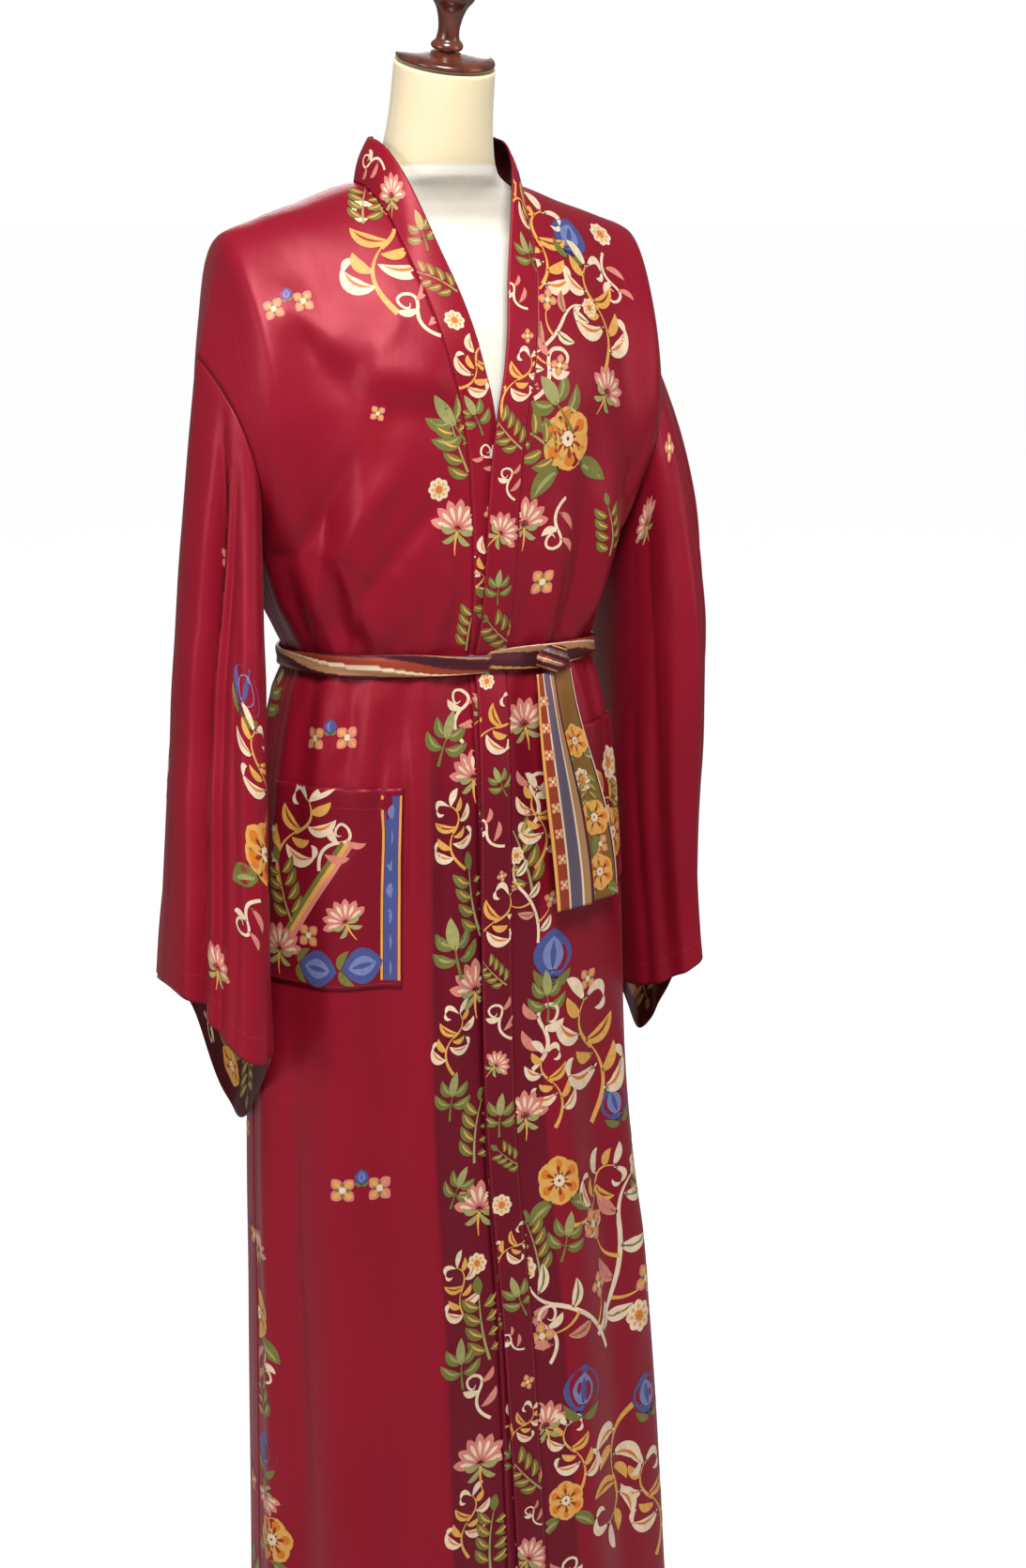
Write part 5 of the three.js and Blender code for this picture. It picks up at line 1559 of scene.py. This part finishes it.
class ROBE_OT_form(bpy.types.Operator):
    """Build the dress form, its cap and finial, and its stand"""

    bl_idname = "robe.form"
    bl_label = "Dress Form"

    def execute(self, context):
        form = context.scene.robe_form
        vertices, faces = closed_loft(form_grid())
        # The neck has a warmer cover than the body, and they join at the neck's foot.
        on_top = smooth((vertices[:, 2] + 0.15 * vertices[:, 1] - 1438) / 3)[:, None]
        tint = with_alpha(mix(np.array(form.cover), np.array(form.neck), on_top))
        torso = make_object("form_cover", vertices, faces, linen_material(), None, tint)
        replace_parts(torso, "form_torso")
        wood = wood_material(tuple(form.wood_dark), tuple(form.wood_light))
        turned = {
            "neck_cap": on_neck(lathe(CAP), CAP_GAP),
            "finial": on_neck(lathe(FINIAL), FINIAL_FOOT),
            "stand_pole": lathe(POLE),
            "stand_base": lathe(FOOT),
        }
        for name, grid in turned.items():
            vertices, faces = closed_loft(grid)
            piece = make_object(name + "_wood", vertices, faces, wood)
            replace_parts(piece, name)
        return {"FINISHED"}


# ------------------------------------------------------------------ stage
SENSOR = 36.0  # millimetres
LENS_PIXELS, PICTURE_HEIGHT = 2975, 1670  # focal length and picture height, both in pixels
CAMERA_ASIDE = 0.07  # metres to the right of the line to the stand's axis
FLOOR_RADIUS, FLOOR_SIDES = 60.0, 96
# Lights: name, place, height of the point on the axis they face, width, and the power setting.
LIGHTS = (
    ("key", (-0.65, -1.75, 3.15), 1.25, 1.1, "key_power"),
    ("side", (-2.9, -0.9, 1.9), 0.9, 1.2, "side_power"),
    ("fill", (2.4, -2.2, 1.8), 0.8, 1.8, "fill_power"),
    ("rear", (1.0, 2.6, 2.6), 1.1, 1.5, "side_power"),
)


class ROBE_OT_stage(bpy.types.Operator):
    """Set up the floor, the lights and the camera"""

    bl_idname = "robe.stage"
    bl_label = "Stage"

    def execute(self, context):
        scene, stage = context.scene, context.scene.robe_stage
        material, floor_tree, shader = empty_material("pale_floor")
        set_inputs(shader, Base_Color=(0.5, 0.5, 0.5, 1.0), Roughness=0.9,
                   Emission_Color=(1.0, 1.0, 1.0, 1.0))
        seen = node(floor_tree, "ShaderNodeLightPath").outputs["Is Camera Ray"]
        glow = maths(floor_tree, "MULTIPLY", seen, 0.88)
        floor_tree.links.new(glow, shader.inputs["Emission Strength"])
        turn = np.linspace(0, 2 * np.pi, FLOOR_SIDES, endpoint=False)
        rim = FLOOR_RADIUS * stacked(np.cos(turn), np.sin(turn), 0.0)
        mesh = bpy.data.meshes.new("floor")
        mesh.from_pydata(rim.tolist(), [], [list(range(FLOOR_SIDES))])
        floor = bpy.data.objects.new("floor", mesh)
        floor.data.materials.append(material)
        scene.collection.objects.link(floor)

        world = bpy.data.worlds.new("studio")
        world.use_nodes = True
        scene.world = world
        tree = world.node_tree
        lit = tree.nodes["Background"]
        set_inputs(lit, Color=(1.0, 0.98, 0.96, 1.0), Strength=0.2)
        seen = node(tree, "ShaderNodeBackground", Color=(1, 1, 1, 1))
        path = node(tree, "ShaderNodeLightPath")
        both = node(tree, "ShaderNodeMixShader", [
            (path.outputs["Is Camera Ray"], 0), (lit.outputs[0], 1), (seen.outputs[0], 2)])
        tree.links.new(both.outputs[0], tree.nodes["World Output"].inputs["Surface"])

        for name, place, aim_z, size, power in LIGHTS:
            self.light(context, name, place, (0, 0, aim_z), size, getattr(stage, power))

        camera = bpy.data.cameras.new("camera")
        camera.sensor_width = SENSOR
        camera.lens = SENSOR * LENS_PIXELS / PICTURE_HEIGHT
        view = bpy.data.objects.new("camera", camera)
        scene.collection.objects.link(view)
        turn = stage.azimuth
        away = Vector((math.sin(turn), -math.cos(turn), 0))
        right = Vector((math.cos(turn), math.sin(turn), 0))
        place = away * stage.distance + right * CAMERA_ASIDE + Vector((0, 0, stage.height))
        forward = -away * math.cos(stage.pitch) - Vector((0, 0, math.sin(stage.pitch)))
        up = right.cross(forward)
        view.matrix_world = Matrix.Translation(place) @ Matrix(
            (right, up, -forward)
        ).transposed().to_4x4()
        scene.camera = view
        scene.view_settings.view_transform = "Standard"
        return {"FINISHED"}

    def light(self, context, name, place, aim, size, power):
        lamp = bpy.data.lights.new(name, "AREA")
        lamp.shape = "DISK"
        lamp.size = size
        lamp.energy = power
        obj = bpy.data.objects.new(name, lamp)
        context.scene.collection.objects.link(obj)
        obj.location = place
        obj.rotation_euler = (Vector(aim) - Vector(place)).to_track_quat("-Z", "Y").to_euler()


class ROBE_PT_panel(bpy.types.Panel):
    """Lists the pieces and their settings"""

    bl_label = "Robe"
    bl_space_type = "VIEW_3D"
    bl_region_type = "UI"
    bl_category = "Robe"

    def draw(self, context):
        for group in ("robe", "robe_form", "robe_stage"):
            box = self.layout.box()
            settings = getattr(context.scene, group)
            for prop in settings.bl_rna.properties:
                if prop.identifier not in {"rna_type", "name"}:
                    box.prop(settings, prop.identifier)
        for operator in OPERATORS:
            self.layout.operator(operator.bl_idname)


OPERATORS = (
    ROBE_OT_form,
    ROBE_OT_body,
    ROBE_OT_neckband,
    ROBE_OT_sleeves,
    ROBE_OT_pockets,
    ROBE_OT_belt,
    ROBE_OT_stage,
)
SETTINGS = {"robe": RobeSettings, "robe_form": FormSettings, "robe_stage": StageSettings}


def register():
    for cls in (*SETTINGS.values(), *OPERATORS, ROBE_PT_panel):
        bpy.utils.register_class(cls)
    for name, cls in SETTINGS.items():
        setattr(bpy.types.Scene, name, PointerProperty(type=cls))


def unregister():
    for name in SETTINGS:
        delattr(bpy.types.Scene, name)
    for cls in reversed((*SETTINGS.values(), *OPERATORS, ROBE_PT_panel)):
        bpy.utils.unregister_class(cls)


def main():
    register()
    for operator in OPERATORS:
        family, name = operator.bl_idname.split(".")
        getattr(getattr(bpy.ops, family), name)()


if __name__ == "__main__":
    main()
